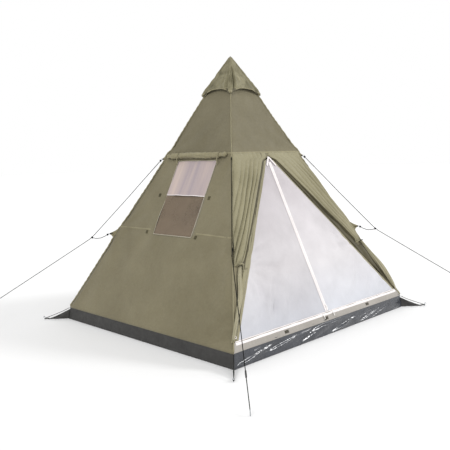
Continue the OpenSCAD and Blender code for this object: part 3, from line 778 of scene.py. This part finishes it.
PAD_HALF = 0.12
pad = Builder()
px, py = np.meshgrid(np.linspace(-PAD_HALF, PAD_HALF, 25), np.linspace(-PAD_HALF, PAD_HALF, 25))
round_off = np.maximum(np.abs(px), np.abs(py)) > PAD_HALF - 0.008
pz = 0.0062 + 0.0006 * waves(np.stack([px, py, 0 * px], -1), 14, 61, 2) - 0.0012 * round_off
pad.grid(np.stack([px, py, pz], -1))
pad.place("pole_patch", GROUND_MATTE, "groundsheet", "floor_pole_patch", thick=0.0012)

# ---- Roof cap, vent net and apex patch ----

HEM_DIP = 0.006     # how far the cap's hem dips towards its corners


def cap_hem(u, drop=0.0):
    return CAP_LOW + CAP_ARCH * (1 - u * u) - drop


def corner_dip(u):
    return HEM_DIP * ease(np.abs(u), 0.7, 1.0)


def cap_skin(side, u, t, lift=0.0, drop=0.0, flare=CAP_FLARE):
    hem = cap_hem(u, drop)
    p = skin(side, u, hem + (CAP_TIP - hem) * t, lift)
    p[..., :2] *= flare
    return p


# The cap's folds on its front, beside the near corner: place and width along u, and size
FRONT_FOLDS = [(-0.74, 0.055, -0.022), (-0.55, 0.10, 0.010), (-0.9, 0.05, 0.010)]
# Those on its left face: place and width along u, the same up the slope, and size
LEFT_FOLDS = [(0.7, 0.06, 0.25, 0.25, -0.010), (0.5, 0.07, 0.2, 0.2, 0.007), (0.3, 0.07, 0.3, 0.25, -0.007)]


def cap_lift(side, u, t):
    u, t = np.broadcast_arrays(u, t)
    p = cap_skin(side, u, t)
    fall = (1 - t) ** 0.7
    lift = (0.0036 * waves(p * (1, 1, 0.3), 9.0, 71, 3) + 0.002 * waves(p, 24.0, 72, 2)) * fall
    for way in (-1, 1):
        lift += (0.003 * bell(way * u, 0.9, 0.05) - 0.006 * bell(way * u, 0.8, 0.05)) * fall
    if side == "front":
        band = ease(t, 0.0, 0.1) * (1 - ease(t, 0.5, 0.75))
        lift += sum(size * bell(u, at, width) for at, width, size in FRONT_FOLDS) * band
    if side == "left":
        lift += 0.012 * bell(u, 0.9, 0.05) * ease(1 - t, 0.0, 0.3)
        lift += sum(size * bell(u, at, width) * bell(t, high, tall) for at, width, high, tall, size in LEFT_FOLDS)
    curl = np.exp(-t / 0.05) * ease(np.abs(u), 0.45, 1.0)
    return lift - 0.010 * curl + 0.004 * np.exp(-t / 0.12) * (1 - ease(np.abs(u), 0.2, 0.8))


cap, facing, rim = Builder(), Builder(), Builder()
cap_t = np.concatenate([np.linspace(0, 0.1, 7), np.linspace(0.1, 1, 34)[1:]])[:, None]
for side in FACE_HIPS:
    u = bunched(53)[None]
    cap.grid(cap_skin(side, u, cap_t, cap_lift(side, u, cap_t), corner_dip(u)))
    # A dark strip just under the cap's hem, deeper towards the corners: painted shadow where the hem stands off the
    # canopy.
    u, depth = row(-0.97, 0.97, 61), column(0, 1, 5)
    low = cap_hem(u, corner_dip(u)) + 0.012 - depth * (0.018 + 0.012 * np.abs(u) ** 3)
    p = skin(side, u, low, 0.003)
    p[..., :2] *= CAP_FLARE - 0.05
    facing.grid(p)
    u = np.linspace(-1, 1, 61)
    line = cap_skin(side, u, 0 * u, cap_lift(side, u, 0 * u), corner_dip(u))
    rim.tube(line, 0.006, 0.010, taper=lambda k: 0.8 + 2.2 * abs(2 * k - 1) ** 5)
for name, (side, u) in HIP_AT.items():
    t = np.linspace(0.0, 0.97, 50)
    line = cap_skin(side, u, t, cap_lift(side, u, t) + 0.001, HEM_DIP)
    rim.tube(line, 0.004, 0.006, RADIAL[name] + UP * 0.6, sides=8)
cap_sheet = cap.place(
    "roof_cap_cloth", [OLIVE_CAP, OLIVE_PAINTED_SHADE], "canopy_cloth", "roof_cap", thick=0.0016, weld=True,
)
# The cap's inner side takes the dark olive: painted shade under the cap.
cap_sheet.modifiers["thickness"].material_offset = 1
facing.place("roof_cap_hem_painted_shadow", OLIVE_PAINTED_SHADE, "canopy_cloth", thick=0.0012, weld=True)
rim.place("roof_cap_piping", OLIVE_SEAM, "canopy_cloth")

vent, apex = Builder(), Builder()
for side in FACE_HIPS:
    vent.grid(skin(side, row(-1, 1, 25), column(VENT_LOW, VENT_HIGH, 17), -0.001))
    apex.grid(skin(side, row(-1, 1, 17), column(VENT_HIGH - 0.004, APEX_TOP, 9), 0.0006))
vent.place("vent_mesh", VENT_NET, "window_net", "vent_net", weld=True)
apex.place("apex_webbing", WEBBING, "webbing", "apex_patch", thick=0.003, weld=True)

# ---- Sill, bottom zip and hook patches ----

sill = Builder()
u = row(-0.998, 0.998, 200)
sill_z = np.array([SKIRT_H - 0.010, SKIRT_H - 0.008, 0.14, 0.155, 0.17, DOOR_LOW - 0.001, DOOR_LOW])[:, None]
sag = 0.0012 * waves(skin("front", u, 0.15), 1.1, 81, 2) * ease(1 - np.abs(u), 0, 0.15)
sill_lift = 0.0006 + 0.0005 * waves(skin("front", u, sill_z), 6, 82, 2)
sill.grid(skin("front", u, sill_z + sag * (1 - ease(sill_z, 0.13, 0.165)), sill_lift))
sill.place("door_sill_cloth", SILL, "sill_cloth", "door_sill", thick=0.0014)

# Each zip's teeth are ribs across its coil: one step up and one down to a pitch
ZIP_Z, ZIP_PITCH, RIB = DOOR_LOW - 0.012, 0.008, 0.00025
COIL_AT = np.array([-0.010, -0.0032, -0.0028, 0.0, 0.0028, 0.0032, 0.0182])[:, None]
COIL_LIFT = np.array([0.0012, 0.0014, 0.0019, 0.0021, 0.0019, 0.0014, -0.0012])[:, None]
COIL_INDEX = [0, 1, 1, 1, 1, 0]
zip_x = np.arange(-DOOR_HALF_W + 0.004, DOOR_HALF_W - 0.003, ZIP_PITCH / 2)[None]
ribs = RIB * (np.arange(zip_x.size) % 2) * (np.abs(COIL_AT) < 0.003)
bottom = Builder()
bottom.grid(front(zip_x, ZIP_Z + COIL_AT, COIL_LIFT + ribs), index=lambda i, j: COIL_INDEX[i])
bottom.place("bottom_zip_tape", [ZIP_WHITE, ZIP_COIL], "zip_tape", "bottom_zip", smooth=False)


def pad_points(side, across, z, w, h, lift, seed):
    """A little pad of hook tape: a puffed rectangle on a face, closed at its rim."""
    way = 1 if side == "front" else -1
    a, b = np.meshgrid(np.linspace(-1, 1, 13), np.linspace(-1, 1, 11))
    edge = np.maximum(np.abs(a), np.abs(b))
    heights = z + b * h / 2
    u = way * (across + way * a * w / 2) / half_width(side, heights)
    rise = 0.0004 + lift * (1 - ease(edge, 0.86, 1.0))
    rise = rise + 0.0005 * waves(skin(side, u, heights), 60, seed, 2) * (edge < 0.9)
    return canopy_skin(side, u, heights, rise) if side == "left" else skin(side, u, heights, rise + 0.0006)


hooks, window_hooks = Builder(), Builder()
for k, x in enumerate((-0.580, -0.040, 0.608)):
    hooks.grid(pad_points("front", x, 0.142, 0.05, 0.022, 0.0022, 90 + k))
for k, (y, z) in enumerate(((0.343, 1.206), (-0.332, 1.196), (0.345, 0.876), (-0.329, 0.870))):
    window_hooks.grid(pad_points("left", y, z, 0.027, 0.03, 0.004, 95 + k))
hooks.place("hook_tape_pads", HOOK_PATCH, "webbing", "hook_patches")
window_hooks.place("window_hook_pads", HOOK_OLIVE, "webbing", "hook_patches")

# ---- Door: two net leaves, their zips and bindings ----

LEAF_KNEE, LEAF_TOP, LEAF_GAP = KNEE_Z - 0.002, DOOR_HIGH - 0.012, 0.001
HINGE_LOW = np.array([door_half(LEAF_LOW) - DOOR_GAP, -float(half_y(LEAF_LOW)), LEAF_LOW])
HINGE_HIGH = np.array([KNEE_HALF_W - DOOR_GAP, -float(half_y(KNEE_Z)), LEAF_KNEE])
NET_TIE_X = 0.79
BINDING_W = 0.022
LEAF_COLS = 41
# The wrinkles low in each leaf, as a count and a span of x, and the span of x of those beside its tie
LEAF_LOOKS = {
    -1: dict(name="left", net=DOOR_NET, low=(26, (-0.85, -0.3)), tie=(-0.74, -0.5)),
    1: dict(name="right", net=DOOR_NET_RIGHT_PAINTED_LIGHT, low=(10, (0.5, 1.0)), tie=(0.5, 0.74)),
}


def leaf_edge(z):
    closing = (KNEE_HALF_W - DOOR_GAP) * (LEAF_TOP - z) / (LEAF_TOP - LEAF_KNEE)
    return np.where(z < LEAF_KNEE, door_half(z) - DOOR_GAP, np.clip(closing, LEAF_GAP, None))


def leaf_points(way, a, z):
    """a is 0 at the middle of the door and 1 at the slanted edge."""
    edge = leaf_edge(z)
    x = LEAF_GAP + a * (edge - LEAF_GAP)
    free = np.clip((x - 0.022) / np.maximum(edge - 0.022, 0.02), 0, 1)
    tall = np.clip((z - LEAF_LOW) / (LEAF_TOP - LEAF_LOW), 0, 1)
    billow = 0.034 * np.sin(math.pi * free) ** 1.1 * np.sin(math.pi * tall**0.8) ** 0.8
    flat = np.stack([way * x, 0 * x, z + 0 * x], -1)
    soft = 0.004 * waves(flat, 2.0, 101 + way, 3, 0.6)
    distance = np.hypot(x - NET_TIE_X, z - TIE_Z)
    angle = np.arctan2(z - TIE_Z, x - NET_TIE_X)
    fan = 0.014 * np.sin(angle * 13 + way) * np.exp(-distance / 0.3) * ease(distance, 0.02, 0.2)
    (count, span), tie_span = LEAF_LOOKS[way]["low"], LEAF_LOOKS[way]["tie"]
    low = creases(way * x, z, count, 105 + way, span, (0.24, 0.6), 0.85, 0.014, 0.11, 0.15)
    tied = creases(way * x, z, 12, 107 + way, tie_span, (0.60, 0.78), -0.3 * way, 0.012, 0.10, 0.2)
    slant = (x * 0.8 + z * 0.6) if way < 0 else (x * 0.7 - z * 0.7)
    diagonal = 0.006 * np.sin(slant * 34 + 2 * waves(flat, 1.2, 103, 2)) * (1 - ease(z, 0.3, 0.75))
    body = ease(free, 0.0, 0.12) * (1 - ease(free, 0.9, 1.0)) * ease(tall, 0, 0.05)
    return front(way * x, z, -0.0012 + billow + (soft + fan + diagonal + 0.014 * low + 0.015 * tied) * body)


for way, look in LEAF_LOOKS.items():
    name = look["name"]
    z = rows(LEAF_LOW, LEAF_LOW + BINDING_W, LEAF_KNEE, LEAF_TOP, step=0.018)[:, None]
    bound = np.clip(1 - BINDING_W * 1.3 / leaf_edge(z), 0.55, 0.995)
    a = np.concatenate([row(0, 1, LEAF_COLS) * bound, 1 - (1 - bound) * np.array([[0.66, 0.33, 0.0]])], 1)
    net = Builder()
    net.grid(leaf_points(way, a, z), index=lambda i, j: int(j >= LEAF_COLS - 1))
    leaf = net.object(f"door_net_{name}", [look["net"], BINDING])
    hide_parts(f"net_door_{name}")
    low, high = HINGE_LOW * (way, 1, 1), HINGE_HIGH * (way, 1, 1)
    axis = (high - low) / np.linalg.norm(high - low)
    inward = -way * (EAST - axis * axis[0])
    inward /= np.linalg.norm(inward)
    tuple(low)
    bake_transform(leaf)
    tape = Builder()
    tape_z = np.arange(LEAF_LOW + 0.002, DOOR_HIGH - 0.045, ZIP_PITCH / 2)[:, None]
    tape_x = np.array([0.0010, 0.0036, 0.0040, 0.0110, 0.0192, 0.0200])[None]
    tape_lift = np.array([0.0021, 0.0021, 0.0014, 0.0012, 0.0012, 0.0006]) + 0 * tape_z
    tape_lift[:, :2] += RIB * (np.arange(len(tape_z)) % 2)[:, None]
    tape.grid(front(way * tape_x, tape_z, tape_lift), index=lambda i, j: int(j == 0))
    tape.place(
        f"centre_zip_half_{name}", [ZIP_WHITE, ZIP_COIL], "zip_tape", f"zip_tape_{name}",
        body=f"net_leaf_{name}", thick=0.0008,
    )

# ---- Outer door flaps, gathered along the hips ----

FLAP_TOP = TIER_H - 0.004
FLAPS = {
    -1: dict(name="left", gap=0.060, bend=1.2, outer=0.014, rise=0.018, crown=0.012, pitch=(0.064, 0.036), seed=3),
    1: dict(name="right", gap=0.050, bend=1.5, outer=0.016, rise=0.010, crown=0.006, pitch=(0.075, 0.03), seed=8),
}


def flap_fall(z):
    return np.clip((FLAP_TOP - z) / (FLAP_TOP - TIE_Z), 0, 1)


def flap_inner(f, z):
    """The gathered flap's inner edge, leaving the zip as it nears its tie."""
    return door_edge(z) + 0.004 + f["gap"] * flap_fall(z) ** f["bend"]


def flap_outer(f, z):
    return half_x(z) - 0.002 - f["outer"] * ease(flap_fall(z), 0.6, 1.0)


# The side zips: white at the top of the door, and a guard strip beside them. The guard is painted dark as shade near
# the left flap's inner edge and all along the right side.
guard, crown = Builder(), Builder()
share = row(0, 1, 13)
CROWN_X, CROWN_Z, CROWN_HALF = (0.002, 0.064), (1.531, 1.452), 0.008
for way, f in FLAPS.items():
    bow = 0.003 + 0.004 * np.sin(math.pi * share)
    z = rows(TIE_Z - 0.03, 1.49, step=0.02)[:, None]
    x = door_half(z) - 0.004 + (flap_inner(f, z) - door_half(z) + 0.018) * share
    painted_shade = (x > flap_inner(f, z) - 0.036) | (way > 0)
    guard.grid(front(way * x, z, bow, canopy_skin), index=lambda i, j: int(painted_shade[i, j]))
    z = rows(DOOR_LOW + 0.006, TIE_Z - 0.03, step=0.02)[:, None]
    spread = 0.05 if way < 0 else half_x(z) - door_half(z) - 0.006
    x = door_half(z) - 0.004 + spread * share
    lift = bow + 0.002 * np.sin(share * 9) * ease(z, 0.2, 0.4)
    guard.grid(front(way * x, z, lift, canopy_skin), index=int(way > 0))
    s, across = column(0, 1, 14), row(-CROWN_HALF, CROWN_HALF, 5)
    x = way * (CROWN_X[0] + (CROWN_X[1] - CROWN_X[0]) * s + across * 0.8)
    z = CROWN_Z[0] + (CROWN_Z[1] - CROWN_Z[0]) * s + across * 0.75
    crown.grid(front(x, z, 0.0095 + 0.001 * np.sin(math.pi * row(0, 1, 5))))
guard.place("side_zip_guards", [OLIVE_FLAP, OLIVE_PAINTED_SHADE], "canopy_cloth", thick=0.0012, offset=1.0)
crown.place("door_crown_zip", ZIP_WHITE, "zip_tape", thick=0.0012, offset=1.0)

for way, f in FLAPS.items():
    z, s = rows(TIE_Z, 0.8, FLAP_TOP, step=0.013)[:, None], row(0, 1, 121)
    t = flap_fall(z)
    inner = flap_inner(f, z) + 0.012 * (1 - ease(t, 0.0, 0.1))
    x = inner + (flap_outer(f, z) - inner) * s
    pitch = f["pitch"][0] + (f["pitch"][1] - f["pitch"][0]) * t
    phase = (x - inner) / pitch + 0.16 * np.sin(z * 5 + f["seed"] + 6 * s) + 0.1 * np.sin(z * 13 + 11 * s)
    ridge = np.abs(np.sin(math.pi * phase)) ** 0.62
    height = 0.65 + 0.55 * np.sin(np.floor(phase) * 2.4 + f["seed"]) ** 2
    rise = 0.004 + f["rise"] * ease(t, 0.0, 0.3) * (1 - 0.35 * ease(t, 0.93, 1.0))
    crown_up = 0.004 + f["crown"] * (1 + t) * np.sin(math.pi * s) ** 0.6
    lift = 0.002 + crown_up * ease(t, 0.0, 0.25) + rise * ridge * height
    lift += 0.0012 * waves(np.stack([3 * x, 0 * x, z * 2 + 0 * x], -1), 3, f["seed"] + 5, 2)
    lift = lift * ease(s, 0.0, 0.03) * ease(1 - s, 0.0, 0.05) + 0.001
    lift *= 1 - 0.75 * ease(t, 0.965, 1.0)
    # A narrow band along each flap's inner edge is painted dark: painted shade where the edge turns under.
    painted_shade_edge = (x - inner < 0.014) & (t > 0.04)
    p = front(way * x, z, lift)
    if way < 0:
        p, painted_shade_edge = p[:, ::-1], painted_shade_edge[:, ::-1]
    flap = Builder()
    flap.grid(p, index=lambda i, j: int(painted_shade_edge[i, j] and painted_shade_edge[i, j + 1]))
    f["cloth"] = flap.place(
        f"door_flap_{f['name']}", [OLIVE_FLAP, OLIVE_PAINTED_SHADE], "flap_cloth", f"outer_flap_{f['name']}", thick=0.0015,
    )

# Below its tie each flap hangs as a tail: the left beside the zip, the right over the corner
s = row(0, 1, 41)
z = rows(TAIL_LOW + 0.004, 0.3, TIE_Z - 0.006, step=0.012)[:, None]
fall = (TIE_Z - z) / (TIE_Z - TAIL_LOW)
round_end = np.clip((1.0 - fall) / 0.07, 0.05, 1) ** 0.5
tie_x = float(flap_inner(FLAPS[-1], TIE_Z)) + 0.022 - float(door_half(TIE_Z))
middle = door_half(z) + 0.024 + (tie_x - 0.024) * (1 - ease(fall, 0, 0.5))
width = (0.036 + 0.012 * np.sin(math.pi * np.clip(fall * 1.1, 0, 1))) * round_end
folds = np.abs(np.sin(math.pi * (2.2 * s + 0.3 * np.sin(4 * fall)))) ** 0.7
lift = 0.006 + np.sin(math.pi * s) ** 0.55 * (0.011 + 0.007 * folds)
tail = Builder()
tail.grid(front(-(middle + (s - 0.5) * width), z, lift)[:, ::-1])
tail.place("door_flap_tail_left", OLIVE_PALE, "flap_cloth", "outer_flap_left", thick=0.0015)

DRAPE_LOW, DRAPE_HIGH, DRAPE_SIDES = 0.178, TIE_Z + 0.012, 48
ring = full_turn(DRAPE_SIDES)[None]
drape = rows(DRAPE_LOW, 0.25, DRAPE_HIGH, step=0.012)[:, None]
k = (DRAPE_HIGH - drape) / (DRAPE_HIGH - DRAPE_LOW)
swell = 0.012 + 0.019 * np.sin(math.pi * np.clip(k * 1.03, 0, 1) ** 1.4) ** 0.8
crumple = 1 + 0.12 * np.sin(3 * ring + 5 * k) + 0.12 * np.sin(7 * ring - 9 * k)
across_hip = 1.1 * swell * crumple * np.cos(ring) - 0.03 * (1 - ease(k, 0, 0.25))
out_of_hip = 0.85 * swell * (1 + crumple * np.sin(ring)) - 0.012
tail = Builder()
tail.grid(
    corner_grid("right", hip_r(drape) + out_of_hip * HIP_LEVEL, across_hip, drape + out_of_hip * 0.45), close=True,
)
last = (len(drape) - 1) * DRAPE_SIDES
tail.add([], [tuple(range(DRAPE_SIDES - 1, -1, -1)), tuple(range(last, last + DRAPE_SIDES))], [0, 0])
tail.place("door_flap_tail_right", OLIVE_PALE, "flap_cloth", "outer_flap_right")

for way, f in FLAPS.items():
    inner, outer = float(flap_inner(f, TIE_Z)), float(flap_outer(f, TIE_Z))
    half = 0.026 if way < 0 else (outer - inner) / 2 + 0.004
    middle = inner + half - 0.004
    top = 2 * f["crown"] + f["rise"] + 0.004
    arc = np.linspace(0, math.pi, 24)
    x = way * (middle + np.cos(arc) * half)
    line = skin("front", x / half_x(TIE_Z), TIE_Z + 0.002 + 0.006 * np.cos(arc), 0.002 + top * np.sin(arc) ** 0.7)
    tie = Builder()
    tie.tube(line, 0.011, 0.003, FACE_OUT["front"], sides=8)
    if way > 0:
        start = skin("front", middle / half_x(TIE_Z), TIE_Z + 0.004, top)
        toggle = start + column(0, 1, 8) * np.array([0.042, -0.016, -0.002])
        tie.tube(toggle, 0.009, taper=lambda k: 0.55 + 0.45 * math.sin(math.pi * k) ** 0.5, index=1)
    else:
        start, k = front(-middle, TIE_Z, top), column(0, 1, 10)
        strap = start + k * np.array([0.016, -0.004, -0.06]) + np.sin(k * 5) * np.array([0.004, -0.002, 0])
        tie.tube(strap, 0.009, 0.0022, FACE_OUT["front"], sides=8)
    tie.place(f"door_flap_tie_{f['name']}", [OLIVE_FLAP, WEBBING], "webbing", "roll_ties")

# ---- Window: net, half-drawn curtain, light binding and the rolled-up cover ----

LOW_Y, HIGH_Y = window_low_y + 0.002, window_high_y - 0.002
WINDOW_REACH = 0.985        # the greatest share of the face's half width that the window takes


def window_points(y, z, lift):
    """y runs from the far end of the window to its near end, so that the outward side is the front."""
    reach = half_y(z) * WINDOW_REACH
    return skin("left", -np.clip(y, -reach, reach) / half_y(z), z, lift)


def window_bow(y):
    return np.sin(math.pi * (y - LOW_Y) / (HIGH_Y - LOW_Y))


window_net = Builder()
y, z = row(HIGH_Y, LOW_Y, 41), column(WINDOW_LOW + 0.001, CURTAIN_LOW + 0.03, 29)
sink = -0.0012 - 0.012 * window_bow(y) * np.sin(math.pi * (z - WINDOW_LOW) / 0.42)
sink += 0.0015 * waves(window_points(y, z, 0), 2.5, 111, 3)
window_net.grid(window_points(y, z, np.minimum(sink, -0.0006)))
window_mesh = window_net.place("window_mesh", WINDOW_NET, "window_net", "window_net")

curtain = Builder()
y, z = row(HIGH_Y, LOW_Y, 65), rows(CURTAIN_LOW, CURTAIN_LOW + 0.012, WINDOW_HIGH - 0.001, step=0.012)[:, None]
streak = 0.003 * np.sin(y * 30 + 2.0 * np.sin(z * 3))
streak += 0.001 * waves(window_points(y, z, 0) * (1, 1, 0.3), 6, 112, 3)
hang = 0.006 * window_bow(y) * (1 - ease(z, CURTAIN_LOW, WINDOW_HIGH))
# The curtain's bottom row takes the white tape colour: a painted highlight along its hem.
curtain.grid(window_points(y, z, 0.0008 + np.maximum(streak, -0.002) + hang), index=lambda i, j: int(i < 1))
curtain_sheet = curtain.place(
    "window_curtain_cloth", [CURTAIN, ZIP_WHITE], "curtain", "window_curtain", thick=0.0009,
)

binding = Builder()
frame_corners = [(HIGH_Y, WINDOW_LOW), (LOW_Y, WINDOW_LOW), (LOW_Y, WINDOW_HIGH), (HIGH_Y, WINDOW_HIGH)]
for (y0, z0), (y1, z1) in zip(frame_corners, frame_corners[1:] + frame_corners[:1]):
    y, z = np.linspace(y0, y1, 40), np.linspace(z0, z1, 40)
    tight = np.minimum(half_y(z) * WINDOW_REACH, np.abs(y)) * np.sign(y)
    binding.tube(canopy_skin("left", -tight / half_y(z), z, 0.0022), 0.006, 0.0022, FACE_OUT["left"], sides=8)
binding.place("window_binding", TRIM, "canopy_cloth")

ROLL_Z, ROLL_R, ROLL_HALF, ROLL_FLAT = 1.571, 0.026, 0.403, 0.88
ROLL_X = -float(half_x(ROLL_Z)) - 0.0295 * math.hypot(1, LEAN_RUN * BASE_W / 2)
ROLL_ROWS, ROLL_SIDES, STRAPS_Y = 121, 40, (-0.311, 0.226)
roll, straps = Builder(), Builder()
t = np.linspace(0, 1, ROLL_ROWS)
phi = full_turn(ROLL_SIDES)[None]
ends = np.minimum(t, 1 - t) * 2 * ROLL_HALF
profile = ease(ends, 0.0, 0.035) ** 0.6 * (1 - 0.45 * bell(ends, 0.055, 0.02))
for y in STRAPS_Y:
    profile *= 1 - 0.2 * bell((t - 0.5) * 2 * ROLL_HALF, -y, 0.012)
profile *= 1 + 0.06 * np.sin(t * 61 + 2 * np.sin(t * 17)) + 0.05 * np.sin(t * 143)
t = t[:, None]
spiral = 1 + 0.09 * np.cos(3 * phi + 9 * t) + 0.05 * np.cos(5 * phi - 14 * t)
radius = ROLL_R * profile[:, None] * spiral
p = np.stack([
    ROLL_X + radius * np.cos(phi) * ROLL_FLAT,
    (0.5 - t) * 2 * ROLL_HALF + 0 * radius,
    ROLL_Z - 0.004 + radius * np.sin(phi) - 0.003 * np.sin(t * math.pi * 3 + 0.6),
], -1)
roll.grid(p, close=True)
centres, last = len(roll.points), (ROLL_ROWS - 1) * ROLL_SIDES
roll.add([p[0].mean(0), p[-1].mean(0)], [], [])
for j in range(ROLL_SIDES):
    k = (j + 1) % ROLL_SIDES
    roll.add([], [(centres, k, j), (centres + 1, last + j, last + k)], [0, 0])
cover_roll = roll.place("rolled_window_cover", OLIVE_SEAM, "flap_cloth", "window_flap_roll")
for y in STRAPS_Y:
    ring = ring_line(np.array([ROLL_X, y, ROLL_Z - 0.004]), 0.0245 * EAST, 0.0255 * UP, 30)
    straps.tube(ring, 0.013, 0.003, ring_line(0, EAST, UP, 30), sides=8, closed=True)
    k = column(0, 1, 12)
    tail = np.array([ROLL_X - 0.02, y, ROLL_Z - 0.012]) + k * np.array([-0.012, 0.006, -0.07])
    straps.tube(tail + np.sin(k * 4) * np.array([-0.004, 0.005, 0]), 0.012, 0.0024, (-1, 0, 0.3), sides=8)
straps.place("window_roll_straps", OLIVE_SEAM, "webbing")

# ---- Guy tabs: cloth triangles with drawn-in edges, and their loops ----

# Each tab's lowest and highest height on the hip, and its tip
TAB_SHAPES = [((1.525, 1.638), (0.680, 1.540)), ((0.780, 0.915), (1.220, 0.832))]
TAB_TIP_W = 0.014
tabs, tab_rings = Builder(), Builder()
for name in CORNERS:
    for (low, high), (tip_r, tip_z) in TAB_SHAPES:
        root_z, s = column(low, high, 17), row(0, 1, 17)
        root_r = hip_r(root_z) + tab_pull(root_z) - 0.003
        v = (root_z - low) / (high - low)
        bow = -0.154 * (high - low) * (v - 0.5) * np.sin(math.pi * s)
        r = root_r + (tip_r - root_r) * s
        z = root_z + (tip_z + (v - 0.5) * TAB_TIP_W - root_z) * s + bow
        aside = 0.0022 * np.sin(6 * s + 4 * v + len(name)) * np.sin(math.pi * s)
        tabs.grid(corner_grid(name, r, aside, z))
        centre = np.array(corner_point(name, tip_r + 0.009, tip_z - 0.003))
        tab_rings.tube(
            ring_line(centre, RADIAL[name] * 0.0095, UP * 0.0065, 24), 0.002, 0.007, ASIDE[name], sides=8, closed=True,
        )
        patch = np.array(corner_point(name, tip_r - 0.012, tip_z)) + np.array([[-0.02], [0], [0.014]]) * RADIAL[name]
        tab_rings.tube(patch, 0.005, 0.013, ASIDE[name] * 0.2 + UP, sides=8)
tabs.place("guy_tab_cloth", OLIVE_SEAM, "canopy_cloth", "guy_tabs", thick=0.0024, offset=0.0)
tab_rings.place("guy_tab_loops", WEBBING, "webbing", "tab_loops")

# ---- The eyelet at the near corner ----

eyelet = Builder()
up_slope = np.cross(EAST, FACE_OUT["front"])
ring = ring_line(skin("front", -0.982, 0.215, 0.004), EAST * 0.009, up_slope * 0.009, 28)
eyelet.tube(ring, 0.005, 0.003, FACE_OUT["front"], sides=8, closed=True)
eyelet.place("corner_eyelet", ZIP_WHITE, "webbing")

# ---- CAD parts that keep their shape ----

zips = ("centre", "left", "right")
for material, names in (
    (POLE_STEEL, ("pole_lower", "pole_middle", "pole_upper")),
    (PLASTIC, ("pole_foot", "pole_tip", *(f"tensioner_{n}" for n in CORNERS))),
    (STEEL, ("corner_pegs", "guy_pegs")),
    (ZIP_METAL, [f"{n}_zip_{part}" for n in zips for part in ("slider", "pull")]),
):
    for name in names:
        slots = nodes[name].data.materials
        slots.clear()
        slots.append(material)

# ---- Light and floor ----


def sun(name, toward, strength, spread):
    data = bpy.data.lights.new(name, "SUN")
    data.energy, data.angle = strength, math.radians(spread)
    link(name, data).rotation_euler = Vector(toward).to_track_quat("Z", "Y").to_euler()


sun("key", (0.62, -0.66, 0.45), 1.5, 14)
sun("fill", (-0.8, -0.35, 0.6), 1.1, 16)
world = bpy.data.worlds.new("studio")
world.use_nodes = True
world.node_tree.nodes["Background"].inputs["Color"].default_value = (1, 1, 1, 1)
world.node_tree.nodes["Background"].inputs["Strength"].default_value = 1.0
bpy.context.scene.world = world
bpy.context.scene.view_settings.view_transform = "Standard"

FLOOR_REACH, FLOOR_DROP = 60, -0.002
square = [(x * FLOOR_REACH, y * FLOOR_REACH, FLOOR_DROP) for x, y in ((-1, -1), (1, -1), (1, 1), (-1, 1))]
ground = make_object("studio_ground", square, [(0, 1, 2, 3)], studio.material)
